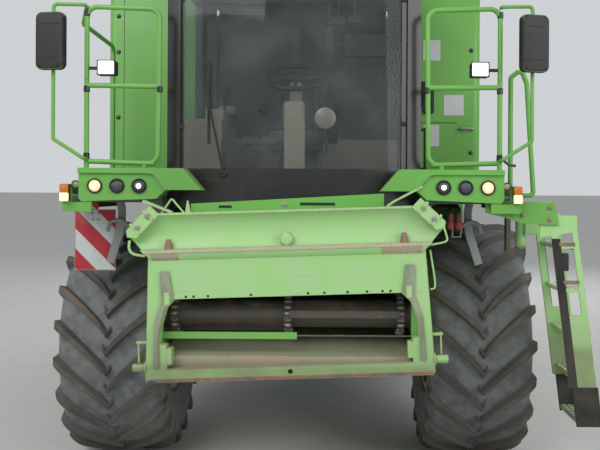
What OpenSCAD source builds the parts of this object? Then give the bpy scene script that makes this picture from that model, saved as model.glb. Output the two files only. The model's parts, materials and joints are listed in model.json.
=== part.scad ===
// Combine harvester without its header, standing on its four tyres.
// X runs across the machine, Y from its front to its back, Z up from the ground.
// The pieces are drawn with the front axle at Y = 0 and the middle plane at X = 0.
// The last lines move the whole machine so that its box stands over the origin.

/* [Wheels] */
// Distance from the front axle to the rear axle
wheelbase = 3750; // [3700:10:3900]
// Distance between the middles of the front tyres
front_track = 2740; // [2740:10:2900]
// Distance between the middles of the rear tyres
rear_track = 2500; // [2460:10:2600]
// Outside diameter of a front tyre
front_tyre_d = 1850; // [1780:10:1870]
// Width of a front tyre
front_tyre_w = 780; // [700:10:790]
// Diameter of a front rim where the tyre sits
front_bead_d = 830; // [760:10:900]
// Outside diameter of a rear tyre
rear_tyre_d = 1310; // [1250:10:1320]
// Width of a rear tyre
rear_tyre_w = 490; // [420:10:500]
// Diameter of a rear rim where the tyre sits
rear_bead_d = 610; // [560:10:660]
// Height of a front tyre's lugs
front_lug_h = 50; // [30:1:60]
// Height of a rear tyre's lugs
rear_lug_h = 38; // [25:1:45]
// Number of lugs on each half of a front tyre
front_lugs = 20; // [16:1:22]
// Number of lugs on each half of a rear tyre
rear_lugs = 18; // [14:1:20]
// Thickness of a lug at its top
lug_t = 62; // [40:1:70]
// Thickness of the rims' steel
rim_t = 16; // [10:1:20]

/* [Body] */
// Width of the threshing body between the front tyres
core_w = 1700; // [1600:10:1700]
// Width of the machine's outer panels
body_w = 3000; // [2900:10:3060]
// Length of the grain tank
tank_l = 2130; // [2000:10:2140]
// Height of the grain tank's rim over the ground
tank_top = 3500; // [3450:10:3600]
// Height of the ledge that carries the side doors
ledge_z = 2560; // [2540:10:2600]
// Thickness of the sheet panels with their frames
panel_t = 40; // [30:1:40]
// Length of the engine bay
engine_bay_l = 1630; // [1500:10:1640]
// Length of the straw hood behind the engine bay
hood_l = 2060; // [1900:10:2100]
// Width of the straw hood
hood_w = 2700; // [2500:10:2760]
// Diameter of the round air screen
screen_d = 850; // [780:10:860]

/* [Cab] */
// Width of the cab
cab_w = 1740; // [1700:10:1740]
// Length of the cab
cab_l = 1400; // [1350:10:1450]
// Height of the underside of the cab's floor
cab_floor_z = 1990; // [1990:5:2000]
// Thickness of the cab's floor
cab_floor_t = 120; // [80:5:120]
// Height of the top of the cab's walls
cab_top_z = 3700; // [3650:10:3720]
// Thickness of the cab's walls
cab_wall = 60; // [50:1:70]
// Radius of the curved windscreen, seen from above
screen_r = 2600; // [2400:50:3000]
// Thickness of the window glass
glass_t = 8; // [6:1:10]
// Length of the cab door along the machine
door_l = 1000; // [900:10:1000]
// Height of the cab roof over the walls
roof_h = 180; // [150:5:200]
// Thickness of the platforms' floor
platform_t = 40; // [30:1:50]
// Distance from the middle plane to a platform's outer edge
platform_x = 1540; // [1500:10:1560]

/* [Feeder] */
// Width of the feeder house
feeder_w = 1600; // [1540:10:1620]
// Distance from the feeder's pivot to its front flange
feeder_l = 1700; // [1650:10:1720]
// Thickness of the feeder's plates
feeder_t = 16; // [10:1:20]
// Roll of the header frame to the machine's right, as it was left
frame_roll = 2; // [0:0.5:3]
// Diameter of the pin on which the header frame rolls
roll_pin_d = 80; // [60:2:90]
// Outside diameter of a lift cylinder
lift_barrel_d = 120; // [90:2:130]
// Diameter of a lift rod
lift_rod_d = 60; // [40:2:70]
// Number of slats on the feeder chain
slats = 14; // [10:2:18]

/* [Unloading auger] */
// Diameter of the auger tube
auger_d = 330; // [300:10:340]
// Length from the turret's axis to the end of the tube
auger_l = 5000; // [4600:50:5200]

/* [Small parts] */
// Diameter of the rail tubes
rail_d = 34; // [25:1:40]
// Width of a mirror head
mirror_w = 190; // [150:5:220]
// Height of a mirror head
mirror_h = 370; // [300:5:400]
// Width of the warning board
board_w = 282; // [250:1:300]
// Height of the warning board
board_h = 423; // [400:1:450]
// Width of the access ladder
ladder_w = 420; // [380:5:440]
// Running clearance of pins and hubs
run_gap = 0.3; // [0.2:0.05:0.5]
// Clearance between panels that move and their neighbours
door_gap = 8; // [6:1:12]

/* [Hidden] */
$fn = 48;

// Colours of the finishes
body_green = [0.36, 0.56, 0.13];
dark_green = [0.25, 0.42, 0.12];
frame_grey = [0.30, 0.31, 0.30];
rubber_black = [0.07, 0.07, 0.07];
rim_yellow = [0.80, 0.68, 0.20];
trim_black = [0.10, 0.10, 0.11];
glass_tint = [0.55, 0.65, 0.70, 0.35];
beige = [0.62, 0.56, 0.42];
worn_steel = [0.50, 0.45, 0.40];

// Places that several pieces share
front_r = front_tyre_d / 2;
rear_r = rear_tyre_d / 2;
front_x = front_track / 2;
rear_x = rear_track / 2;
core_x = core_w / 2;
body_x = body_w / 2;
cab_x = cab_w / 2;
seat_gap = 0.3;
core_top = 2200;
core_front = -50;
rail_z = [1060, 1240];
rail_t = 80;
tank_y = [120, 120 + tank_l];
engine_y = [tank_y[1] + 20, tank_y[1] + 20 + engine_bay_l];
hood_y = [engine_y[1] + 20, engine_y[1] + 20 + hood_l];
hood_x = hood_w / 2;
hood_z = 1480;
tank_neck_x = 1150;
recess_z = 2880;
cab_y = [50 - cab_l, 50];
cab_floor_top = cab_floor_z + cab_floor_t;
cab_corner_y = cab_y[0] + screen_r - sqrt(screen_r * screen_r - cab_x * cab_x);
sill_z = cab_floor_top + 80;
window_top = cab_top_z - 80;
platform_z = 2070;
front_panel_y = [60, tank_y[0] - seat_gap];
platform_y = [-1340, front_panel_y[0] - seat_gap];
console_y = [-1500, platform_y[0] - seat_gap];
console_z = [2020, 2270];

module block(x, y, z) {
    translate([x[0], y[0], z[0]])
        cube([x[1] - x[0], y[1] - y[0], z[1] - z[0]]);
}

// A copy of the children on each side of the middle plane
module both_sides() {
    children();
    mirror([1, 0, 0])
        children();
}

// A round bar from one point to another
module bar(a, b, r) {
    v = b - a;
    l = norm(v);
    translate(a)
        rotate([0, acos(v[2] / l), atan2(v[1], v[0])])
            cylinder(h = l, r = r);
}

// An outline in Y and Z, carried from x[0] to x[1]
module across(x) {
    translate([x[0], 0, 0])
        rotate([90, 0, 90])
            linear_extrude(x[1] - x[0])
                children();
}

// An outline in X and Z, carried from y[0] to y[1]
module along(y) {
    translate([0, y[1], 0])
        rotate([90, 0, 0])
            linear_extrude(y[1] - y[0])
                children();
}

function unit(v) = v / norm(v);

// Points of an arc round c, from angle a to angle b in n steps
function arc(c, r, a, b, n) = [for (i = [0 : n]) c + r * [cos(a + (b - a) * i / n), sin(a + (b - a) * i / n)]];

// Outline of a rectangle with round corners, about its middle
function round_rect(w, h, r) = concat(
    arc([w / 2 - r, h / 2 - r], r, 0, 90, 6), arc([r - w / 2, h / 2 - r], r, 90, 180, 6),
    arc([r - w / 2, r - h / 2], r, 180, 270, 6), arc([w / 2 - r, r - h / 2], r, 270, 360, 6));

// A tube that follows the points, with a round bend of radius bend_r at each corner.
// The straight lengths are a little thinner and reach a little way into the bends.
bend_step = 0.4;
module bent_tube(points, r, bend_r) {
    last = len(points) - 1;
    cut = [for (i = [0 : last]) i == 0 || i == last ? 0 :
        let (u = unit(points[i] - points[i - 1]), v = unit(points[i + 1] - points[i]))
        bend_r * tan(acos(u * v) / 2) - bend_step];
    for (i = [0 : last - 1]) {
        u = unit(points[i + 1] - points[i]);
        bar(points[i] + u * cut[i], points[i + 1] - u * cut[i + 1], r - bend_step);
    }
    for (i = [1 : last - 1]) {
        u = unit(points[i] - points[i - 1]);
        v = unit(points[i + 1] - points[i]);
        n = unit(v - u * (u * v));
        z = cross(u, n);
        c = points[i] - u * (cut[i] + bend_step) + n * bend_r;
        multmatrix([[-n[0], u[0], z[0], c[0]],
                    [-n[1], u[1], z[1], c[1]],
                    [-n[2], u[2], z[2], c[2]]])
            rotate_extrude(angle = acos(u * v))
                translate([bend_r, 0])
                    circle(r);
    }
}

// Turns a wheel's axis, drawn along Z, to point along X
module wheel_axis() {
    rotate([0, 90, 0])
        children();
}

// Half outline of a tyre, as radius and distance from its middle plane
function tyre_side(r_out, w, r_bead, h, drop) = [
    [r_bead, h], [r_bead + 40, h], [r_bead + 80, h + 30],
    [(r_bead + r_out) / 2, w / 2], [r_out - 90 - drop, w / 2 - 14],
    [r_out - 26 - drop, w * 0.40], [r_out - drop, w * 0.24]];

function flipped(points) = [for (i = [len(points) - 1 : -1 : 0]) [points[i][0], -points[i][1]]];

module tyre_ring(r_out, w, r_bead, h) {
    side = tyre_side(r_out, w, r_bead, h, 0);
    rotate_extrude()
        polygon(concat(side, flipped(side)));
}

// The straight lugs of one half of the tread, before they are trimmed to the tread's curve
module lug_row(r_out, w, lug_h, lugs, t) {
    reach = w / 2 + 20;
    lean = reach * 0.85;
    for (i = [0 : lugs - 1])
        rotate(i * 360 / lugs)
            translate([r_out + 10, 0, 0])
                rotate([0, -90, 0])
                    linear_extrude(lug_h + 150)
                        polygon([[-18, -t / 2], [reach, -lean - t / 2],
                                 [reach, -lean + t / 2], [-18, t / 2]]);
}

module tyre(d, w, d_bead, lug_h, lugs) {
    r = d / 2;
    h = w * 0.41;
    outer = [[r - lug_h - 80, 0], [r - lug_h - 80, w / 2 + 3], [r - 62, w / 2 + 3],
             [r - 14, w * 0.42], [r, w * 0.25], [r, 0]];
    color(rubber_black) {
        tyre_ring(r - lug_h, w, d_bead / 2, h);
        intersection() {
            lug_row(r, w, lug_h, lugs, lug_t);
            rotate_extrude()
                polygon(concat(outer, [[r, -20], [r - lug_h - 80, -20]]));
        }
        rotate(180 / lugs)
            mirror([0, 0, 1])
                intersection() {
                    lug_row(r, w, lug_h, lugs, lug_t);
                    rotate_extrude()
                        polygon(concat(outer, [[r, -20], [r - lug_h - 80, -20]]));
                }
    }
}

// A rim with its flanges and its dished disc, which bolts on at disc_x from the middle plane
module rim(d_bead, w, bore_r, disc_x) {
    r = d_bead / 2 - seat_gap;
    h = w * 0.41;
    color(rim_yellow)
        difference() {
            union() {
                rotate_extrude()
                    polygon([[r - rim_t, -h - 14], [r, -h - 14], [r, h + 14], [r - rim_t, h + 14]]);
                for (s = [-1, 1])
                    rotate_extrude()
                        polygon([[r - rim_t, s * (h + seat_gap)], [r + 30, s * (h + seat_gap)],
                                 [r + 30, s * (h + 14)], [r - rim_t, s * (h + 14)]]);
                rotate_extrude()
                    polygon([[bore_r / 2, disc_x], [r * 0.6, disc_x], [r - rim_t / 2, disc_x - 90],
                             [r - rim_t / 2, disc_x - 90 + rim_t * 1.4],
                             [r * 0.6, disc_x + rim_t], [bore_r / 2, disc_x + rim_t]]);
            }
            cylinder(h = 4 * w, r = bore_r, center = true);
        }
}

front_disc_x = 120;
rear_disc_x = 60;
front_hub_r = 110;
rear_hub_r = 70;

module place_front(side) {
    translate([side * front_x, 0, front_r])
        mirror([side < 0 ? 1 : 0, 0, 0])
            wheel_axis()
                children();
}

module place_rear(side) {
    translate([side * rear_x, wheelbase, rear_r])
        mirror([side < 0 ? 1 : 0, 0, 0])
            wheel_axis()
                children();
}

module front_tyre(side) {
    place_front(side)
        tyre(front_tyre_d, front_tyre_w, front_bead_d, front_lug_h, front_lugs);
}

module front_rim(side) {
    place_front(side)
        rim(front_bead_d, front_tyre_w, front_hub_r + run_gap, front_disc_x);
}

module rear_tyre(side) {
    place_rear(side)
        tyre(rear_tyre_d, rear_tyre_w, rear_bead_d, rear_lug_h, rear_lugs);
}

module rear_rim(side) {
    place_rear(side)
        rim(rear_bead_d, rear_tyre_w, rear_hub_r + run_gap, rear_disc_x);
}

// Side rails, the beams under the cab, the rear axle's stand and the towing jaw
stand_x = 220;
stand_t = 50;
beam_y = 110;
kick_y = 2850;
kick_z = [1340, hood_z - seat_gap];
module chassis_frame() {
    color(frame_grey) {
        both_sides() {
            across([core_x + seat_gap, core_x + rail_t])
                polygon([[-150, rail_z[0]], [kick_y - 300, rail_z[0]], [kick_y, kick_z[0]],
                         [hood_y[0] + 290, kick_z[0]], [hood_y[0] + 290, kick_z[1]],
                         [kick_y - 60, kick_z[1]], [kick_y - 360, rail_z[1]], [-150, rail_z[1]]]);
            block([core_x + seat_gap, core_x + rail_t], [platform_y[0], 100],
                  [cab_floor_z - 60, cab_floor_z - seat_gap]);
            difference() {
                block([core_x + seat_gap, core_x + rail_t], [-240, 60], [rail_z[1] - 20, cab_floor_z - 50]);
                bar([core_x, feeder_pivot[1], feeder_pivot[2]],
                    [core_x + rail_t + 1, feeder_pivot[1], feeder_pivot[2]], trunnion_r + run_gap);
            }
        }
        for (y = [wheelbase - beam_y - stand_t - 6, wheelbase + beam_y + 6])
            along([y, y + stand_t])
                difference() {
                    polygon([[-stand_x, rear_r - 110], [stand_x, rear_r - 110], [stand_x, 1100],
                             [core_x + rail_t - 5, kick_z[0] - 5], [core_x + rail_t - 5, kick_z[0] + 20],
                             [-core_x - rail_t + 5, kick_z[0] + 20], [-core_x - rail_t + 5, kick_z[0] - 5],
                             [-stand_x, 1100]]);
                    translate([0, rear_r])
                        circle(60 + run_gap);
                }
        block([-core_x - rail_t / 2, core_x + rail_t / 2], [hood_y[0] + 200, hood_y[0] + 301],
              [kick_z[0] - 50, kick_z[0] + 20]);
        difference() {
            block([-70, 70], [hood_y[0] + 300, hood_y[0] + 420], [kick_z[0] - 110, kick_z[0] - 10]);
            block([-71, 71], [hood_y[0] + 330, hood_y[0] + 421], [kick_z[0] - 80, kick_z[0] - 40]);
            translate([0, hood_y[0] + 380, 0])
                cylinder(h = 3000, r = 20);
        }
    }
}

// Beam with its gearbox, the final drives and the stub hubs that carry the front rims
axle_z = [790, rail_z[0] - seat_gap];
final_x = [core_x + rail_t + seat_gap, 1180];
lift_pin = [0, -260, 700];
lift_x = 450;
lift_pin_r = 25;
module front_axle() {
    hub_x = front_x + front_disc_x;
    color(frame_grey) {
        block([-final_x[0] - 1, final_x[0] + 1], [-130, 130], axle_z);
        translate([0, 0, front_r])
            rotate([0, 90, 0])
                cylinder(h = 520, r = 160, center = true);
        both_sides() {
            translate([final_x[0], 0, front_r])
                wheel_axis() {
                    cylinder(h = final_x[1] - final_x[0], r = 250);
                    cylinder(h = hub_x - final_x[0] - seat_gap, r = 100);
                    translate([0, 0, hub_x - final_x[0] - 30])
                        cylinder(h = 30 - seat_gap, r = 190);
                    translate([0, 0, hub_x - final_x[0] - 10])
                        cylinder(h = 60, r = front_hub_r);
                }
            for (x = [lift_x - 85, lift_x + 60])
                across([x, x + 25])
                    difference() {
                        polygon([[-129, axle_z[0]], [-129, 1000], [-200, 1000],
                                 [lift_pin[1] - 60, lift_pin[2] + 40], [lift_pin[1] - 60, lift_pin[2] - 60],
                                 [lift_pin[1] + 60, lift_pin[2] - 60]]);
                        translate([lift_pin[1], lift_pin[2]])
                            circle(lift_pin_r - 1);
                    }
            bar([lift_x - 86, lift_pin[1], lift_pin[2]], [lift_x + 86, lift_pin[1], lift_pin[2]], lift_pin_r);
        }
    }
}

// Threshing body: the closed box between the wheels, with its belly and sieve housing
module body_core() {
    color(dark_green)
        across([-core_x, core_x])
            polygon([[core_front, 1330], [core_front, cab_floor_z - seat_gap],
                     [tank_y[0] - 60, cab_floor_z - seat_gap], [tank_y[0] - 60, core_top],
                     [hood_y[0] - 30, core_top], [hood_y[0] - 30, 1500],
                     [kick_y + 60, 1400], [kick_y - 120, 980], [1300, 900], [900, 900],
                     [700, rail_z[0] + 20], [120, rail_z[0] + 40]]);
}

// Upright panels beside the cab, with their rounded outer edges
front_panel_x = 1560;
module front_panels() {
    color(body_green)
        both_sides()
            difference() {
                union() {
                    block([cab_x + 12, front_panel_x - 60], front_panel_y, [platform_z + 20, 3420]);
                    translate([front_panel_x - 60, front_panel_y[1], platform_z + 20])
                        intersection() {
                            cylinder(h = 3420 - platform_z - 20, r = 60);
                            block([0, 60], [-60, 0], [0, 2000]);
                        }
                }
                block([cab_x + 60, front_panel_x - 120], [front_panel_y[0] - 1, front_panel_y[0] + 8],
                      [2690, 2698]);
            }
}

// Fixed panels over the rear wheels, with an arch cut over the tyre
module rear_panels() {
    y = [engine_y[0] + 620, hood_y[0] - 20];
    color(body_green)
        both_sides()
            across([body_x - panel_t, body_x])
                difference() {
                    polygon([[y[0], 1380], [y[0], ledge_z - seat_gap], [y[1], ledge_z - seat_gap], [y[1], 1500]]);
                    translate([wheelbase, rear_r])
                        circle(rear_r + 190);
                }
}

// Tank with its sloping floor, its neck on the left for the auger, and an open top
module tank_outline(in) {
    polygon([[-core_x + in, core_top + in], [core_x - in, core_top + in],
             [body_x - 120 - in / 2, ledge_z + in], [body_x - in, ledge_z + in],
             [body_x - in, recess_z - in], [tank_neck_x - in, recess_z - in],
             [tank_neck_x - in, tank_top + in], [-tank_neck_x + in, tank_top + in],
             [-tank_neck_x + in, tank_top - 50], [-body_x + in, tank_top - 300 - in / 2],
             [-body_x + in, ledge_z + in], [-body_x + 120 + in / 2, ledge_z + in]]);
}

hinge_z = ledge_z - 25;
hinge_x = body_x - panel_t / 2;
hinge_r = 12;
door_y = [1000, engine_y[0] + 600];
ear_y = [door_y[0] + 150, (door_y[0] + door_y[1]) / 2, door_y[1] - 150];
ear_w = 60;
module hinge_ears(list) {
    for (y = list)
        difference() {
            block([hinge_x - 18, hinge_x + 18], [y - ear_w / 2, y + ear_w / 2], [hinge_z - 18, ledge_z + 1]);
            bar([hinge_x, y - ear_w, hinge_z], [hinge_x, y + ear_w, hinge_z], hinge_r + run_gap);
        }
}

module grain_tank() {
    lid_pin_z = tank_top - 26;
    color(body_green) {
        difference() {
            along(tank_y)
                tank_outline(0);
            along([tank_y[0] + panel_t, tank_y[1] - panel_t])
                tank_outline(panel_t);
        }
        both_sides() {
            hinge_ears([ear_y[0], ear_y[1]]);
            for (y = [tank_y[0] + 200, tank_y[1] - 200])
                difference() {
                    block([tank_neck_x - 1, tank_neck_x + 40], [y - 30, y + 30], [lid_pin_z - 22, lid_pin_z + 22]);
                    bar([tank_neck_x + 20, y - 50, lid_pin_z], [tank_neck_x + 20, y + 50, lid_pin_z], hinge_r + run_gap);
                }
        }
    }
}

// One half of the tank's roof, hinged at the tank's neck
module tank_lid() {
    lid_pin_z = tank_top - 26;
    ys = [tank_y[0] + 200, tank_y[1] - 200];
    color(body_green) {
        along([tank_y[0] + 2, tank_y[1] - 2])
            polygon([[3, tank_top + 150], [3, tank_top + 175], [tank_neck_x - 160, tank_top + 60],
                     [tank_neck_x + 20, tank_top + 32], [tank_neck_x + 20, tank_top + 7],
                     [tank_neck_x - 170, tank_top + 30]]);
        for (y = [tank_y[0] + 6, tank_y[1] - 26])
            along([y, y + 20])
                polygon([[3, tank_top + 160], [tank_neck_x - 160, tank_top + 45], [tank_neck_x - 60, tank_top + 8],
                         [3, tank_top + 8]]);
        bar([tank_neck_x + 20, ys[0] - 90, lid_pin_z], [tank_neck_x + 20, ys[0] + 90, lid_pin_z], hinge_r);
        bar([tank_neck_x + 20, ys[1] - 90, lid_pin_z], [tank_neck_x + 20, ys[1] + 90, lid_pin_z], hinge_r);
        for (y = ys, s = [-1, 1])
            block([tank_neck_x + 8, tank_neck_x + 32], [y + s * 60 - 15, y + s * 60 + 15], [lid_pin_z - 6, tank_top + 15]);
    }
}

module tank_lid_left() {
    tank_lid();
}

module tank_lid_right() {
    mirror([1, 0, 0])
        tank_lid();
}

// The engine as one closed block, where its weight lies
module engine_block() {
    color(frame_grey)
        block([-520, 620], [engine_y[0] + 250, engine_y[1] - 260], [core_top + seat_gap, 3100]);
}

screen_c = [-body_x, engine_y[0] + 780, ledge_z + 440];
shroud_w = 60;
module bay_outline(in) {
    top = tank_top - 60;
    polygon([[engine_y[0] + in, core_top + in * 2], [engine_y[0] + in, top - in],
             [engine_y[1] - 380 - in / 2, top - in], [engine_y[1] - in, top - 480 - in],
             [engine_y[1] - in, core_top + in * 2]]);
}

// Engine bay: side walls with louvres, a sloping back and the round hole of the air screen
module engine_housing() {
    color(body_green) {
        difference() {
            intersection() {
                along(engine_y)
                    polygon([[-core_x, core_top + seat_gap], [core_x, core_top + seat_gap], [body_x - 120, ledge_z],
                             [body_x, ledge_z], [body_x, recess_z], [tank_neck_x, recess_z],
                             [tank_neck_x, tank_top], [-body_x, tank_top], [-body_x, ledge_z],
                             [-body_x + 120, ledge_z]]);
                across([-body_x, body_x])
                    bay_outline(0);
            }
            intersection() {
                along([engine_y[0] + panel_t, engine_y[1] - panel_t])
                    polygon([[-core_x, core_top - 50], [core_x, core_top - 50], [body_x - 140, ledge_z + panel_t],
                             [body_x - panel_t, ledge_z + panel_t], [body_x - panel_t, recess_z - panel_t],
                             [tank_neck_x - panel_t, recess_z - panel_t], [tank_neck_x - panel_t, tank_top],
                             [-body_x + panel_t, tank_top], [-body_x + panel_t, ledge_z + panel_t],
                             [-body_x + 140, ledge_z + panel_t]]);
                across([-body_x + panel_t, body_x - panel_t])
                    polygon([[engine_y[0] + panel_t, core_top - 50], [engine_y[0] + panel_t, tank_top - 60 - panel_t],
                             [engine_y[1] - 380 - panel_t / 2, tank_top - 60 - panel_t],
                             [engine_y[1] - panel_t, tank_top - 540 - panel_t], [engine_y[1] - panel_t, core_top - 50]]);
            }
            bar(screen_c - [200, 0, 0], screen_c + [200, 0, 0], screen_d / 2 + door_gap);
            for (i = [0 : 5])
                block([-800, 800], [engine_y[1] - panel_t - 60, engine_y[1] + 1],
                      [2420 + i * 75, 2450 + i * 75]);
        }
        both_sides()
            hinge_ears([ear_y[2]]);
        bar(screen_c - [5, 0, 0], screen_c + [240, 0, 0], 40);
        block([-body_x + panel_t + 120, -body_x + panel_t + 150],
              [engine_y[0] + panel_t - 1, engine_y[1] - panel_t + 1], [ledge_z + panel_t - 1, ledge_z + panel_t + 60]);
        block([-body_x + panel_t + 120, -body_x + panel_t + 150],
              [screen_c[1] - 30, screen_c[1] + 30], [ledge_z + panel_t, screen_c[2]]);
    }
}

// Round perforated screen in front of the radiator, turning on its own stub
module air_screen() {
    r = screen_d / 2;
    color(trim_black)
        translate(screen_c)
            wheel_axis()
                difference() {
                    union() {
                        translate([0, 0, -20])
                            cylinder(h = 12, r = r);
                        difference() {
                            translate([0, 0, -20])
                                cylinder(h = 60, r = r);
                            translate([0, 0, -21])
                                cylinder(h = 62, r = r - 10);
                        }
                        translate([0, 0, -34])
                            cylinder(h = 94, r = 70);
                        for (a = [0, 90])
                            rotate(a)
                                translate([-r + 4, -20, -30])
                                    cube([2 * r - 8, 40, 12]);
                    }
                    for (ring = [1 : 5], a = [0 : 45 : 315])
                        rotate(a + 22.5)
                            translate([70 + ring * (r - 100) / 6, 0, -35])
                                cylinder(h = 40, r = 12 + 2 * ring);
                    translate([0, 0, -10])
                        cylinder(h = 100, r = 40 + run_gap);
                }
}

stack_r = 70;
module exhaust() {
    base = [700, engine_y[0] + 900, tank_top - 60 + seat_gap];
    color(worn_steel)
        translate(base) {
            cylinder(h = 30, r = 110);
            difference() {
                union() {
                    cylinder(h = 260, r = stack_r);
                    translate([0, 0, 260])
                        rotate([-35, 0, 0])
                            cylinder(h = 170, r = stack_r);
                    translate([0, 0, 260])
                        sphere(r = stack_r);
                }
                translate([0, 0, 260])
                    rotate([-35, 0, 0])
                        cylinder(h = 180, r = stack_r - 6);
            }
        }
}

module air_cleaner() {
    base = [-700, engine_y[0] + 500, tank_top - 60 + seat_gap];
    color(trim_black)
        translate(base) {
            cylinder(h = 60, r = 90);
            cylinder(h = 200, r = 60);
            translate([0, 0, 180])
                cylinder(h = 190, r1 = 130, r2 = 150);
            translate([0, 0, 370])
                cylinder(h = 50, r1 = 160, r2 = 60);
        }
}

// Rear hood, open below and hollow, with a sloping top and a rounded back
hood_top = 2960;
function hood_roof_z(y) = hood_top - 170 * (y - hood_y[0]) / (hood_l - 480);
function hood_points(in) = [
    [hood_y[0] + in, hood_z + in], [hood_y[0] + in, hood_top - in],
    [hood_y[1] - 480 - in / 2, hood_top - 170 - in], [hood_y[1] - 60 - in, hood_top - 560 - in / 2],
    [hood_y[1] - in, hood_z + 420], [hood_y[1] - 260 - in / 2, hood_z + in]];
module straw_hood() {
    color(body_green)
        difference() {
            across([-hood_x, hood_x])
                polygon(hood_points(0));
            across([-hood_x + panel_t, hood_x - panel_t])
                polygon(hood_points(panel_t));
            block([-hood_x + panel_t, hood_x - panel_t], [hood_y[0] + panel_t, chop_c[1] - 360],
                  [hood_z - 10, hood_z + 100]);
            block([-chop_x, chop_x], [hood_y[0] + panel_t, chop_c[1] + chop_r + 30], [hood_z - 10, hood_z + 100]);
        }
}

// Chopper under the hood, with its tailboard and curved vanes
chop_c = [0, hood_y[0] + 1250, 1290];
chop_r = 240;
chop_x = 780;
module chopper_housing() {
    shell = chop_r + 30;
    color(dark_green) {
        difference() {
            across([-chop_x - 30, chop_x + 30])
                polygon([[chop_c[1] - shell - 60, hood_z - seat_gap], [chop_c[1] - shell - 60, chop_c[2] - 80],
                         [chop_c[1] - 180, chop_c[2] - shell - 40], [chop_c[1] + 120, chop_c[2] - shell - 40],
                         [chop_c[1] + shell + 60, chop_c[2] - 20], [chop_c[1] + shell + 60, hood_z - seat_gap]]);
            across([-chop_x, chop_x]) {
                translate([chop_c[1], chop_c[2]])
                    circle(shell);
                polygon([[chop_c[1] - shell, chop_c[2]], [chop_c[1] - shell, hood_z + 10],
                         [chop_c[1] + shell, hood_z + 10], [chop_c[1] + shell, chop_c[2]]]);
                polygon([[chop_c[1], chop_c[2] - 120], [chop_c[1], chop_c[2] + 60],
                         [chop_c[1] + 600, chop_c[2] + 60], [chop_c[1] + 600, chop_c[2] - 120]]);
            }
            bar([-chop_x - 50, chop_c[1], chop_c[2]], [chop_x + 50, chop_c[1], chop_c[2]], 35 + run_gap);
        }
        across([-chop_x - 30, chop_x + 30])
            polygon([[chop_c[1] + shell + 59, chop_c[2] + 150], [chop_c[1] + shell + 59, chop_c[2] + 170],
                     [chop_c[1] + 920, chop_c[2] + 60], [chop_c[1] + 920, chop_c[2] + 40]]);
        for (i = [-3 : 3])
            translate([i * 240, chop_c[1] + shell + 100, 0])
                rotate(i * -6)
                    across([-6, 6])
                        polygon([[0, chop_c[2] + 160], [0, chop_c[2] + 20], [430, chop_c[2] - 60],
                                 [500, chop_c[2] + 90]]);
    }
}

module chopper_rotor() {
    color(worn_steel) {
        bar([-chop_x + 10, chop_c[1], chop_c[2]], [chop_x - 10, chop_c[1], chop_c[2]], 100);
        bar([-chop_x - 60, chop_c[1], chop_c[2]], [chop_x + 60, chop_c[1], chop_c[2]], 35);
        for (i = [0 : 11])
            translate([-chop_x + 60 + i * 130, chop_c[1], chop_c[2]])
                rotate([i * 105, 0, 0])
                    translate([0, -30, 80])
                        cube([12, 60, 150]);
    }
}

// Large side door, hung on a rod below the tank's ledge
module side_door() {
    top = hinge_z - 35;
    color(body_green) {
        across([body_x - panel_t, body_x])
            polygon([[door_y[0], 1060], [door_y[0], top], [door_y[1], top], [door_y[1], 1330],
                     [door_y[1] - 260, 1060]]);
        bar([hinge_x, door_y[0] + 60, hinge_z], [hinge_x, door_y[1] - 60, hinge_z], hinge_r);
        for (y = ear_y, s = [-1, 1])
            block([hinge_x - 14, hinge_x + 14], [y + s * 50 - 15, y + s * 50 + 15], [top - 1, hinge_z]);
    }
}

module side_door_left() {
    side_door();
}

module side_door_right() {
    mirror([1, 0, 0])
        side_door();
}

// Pulleys and belts behind the side doors, and the grain elevator on the right
drive_table = [
    // side, y, z, radius
    [1, 1260, 1650, 230], [1, 1850, 1350, 300], [1, 2500, 2050, 170],
    [-1, 1900, 1300, 190], [-1, 2650, 1950, 240]];
belt_table = [
    // side, first pulley, second pulley
    [1, 0, 1], [1, 1, 2], [-1, 3, 4]];
drive_x = [core_x + rail_t + 12, core_x + rail_t + 62];
module side_drives() {
    color(worn_steel) {
        for (p = drive_table)
            mirror([p[0] < 0 ? 1 : 0, 0, 0]) {
                bar([drive_x[0], p[1], p[2]], [drive_x[1], p[1], p[2]], p[3]);
                bar([core_x + seat_gap, p[1], p[2]], [drive_x[0] + 1, p[1], p[2]], 45);
            }
        for (b = belt_table)
            mirror([b[0] < 0 ? 1 : 0, 0, 0])
                belt(drive_table[b[1]], drive_table[b[2]]);
        block([-core_x - 240, -core_x - seat_gap], [1150, 1400], [1260, core_top - seat_gap]);
    }
}

// The two straight runs of a belt between pulleys a and b
module belt(a, b) {
    d = norm([b[1] - a[1], b[2] - a[2]]);
    turn = atan2(b[2] - a[2], b[1] - a[1]);
    lean = acos((a[3] - b[3]) / d);
    for (s = [-1, 1]) {
        n = [cos(turn + s * lean), sin(turn + s * lean)];
        p = [a[1], a[2]] + n * (a[3] - 2);
        q = [b[1], b[2]] + n * (b[3] - 2);
        m = n * 14;
        across([drive_x[0] + 10, drive_x[1] - 10])
            polygon([p, q, q + m, p + m]);
    }
}

// Plan of the cab: a rectangle whose front follows the curved windscreen
module cab_plan(in) {
    intersection() {
        translate([-cab_x + in, cab_y[0] - 10])
            square([cab_w - 2 * in, cab_l + 10 - in]);
        translate([0, cab_y[0] + screen_r])
            circle(screen_r - in, $fn = 200);
    }
}

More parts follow.
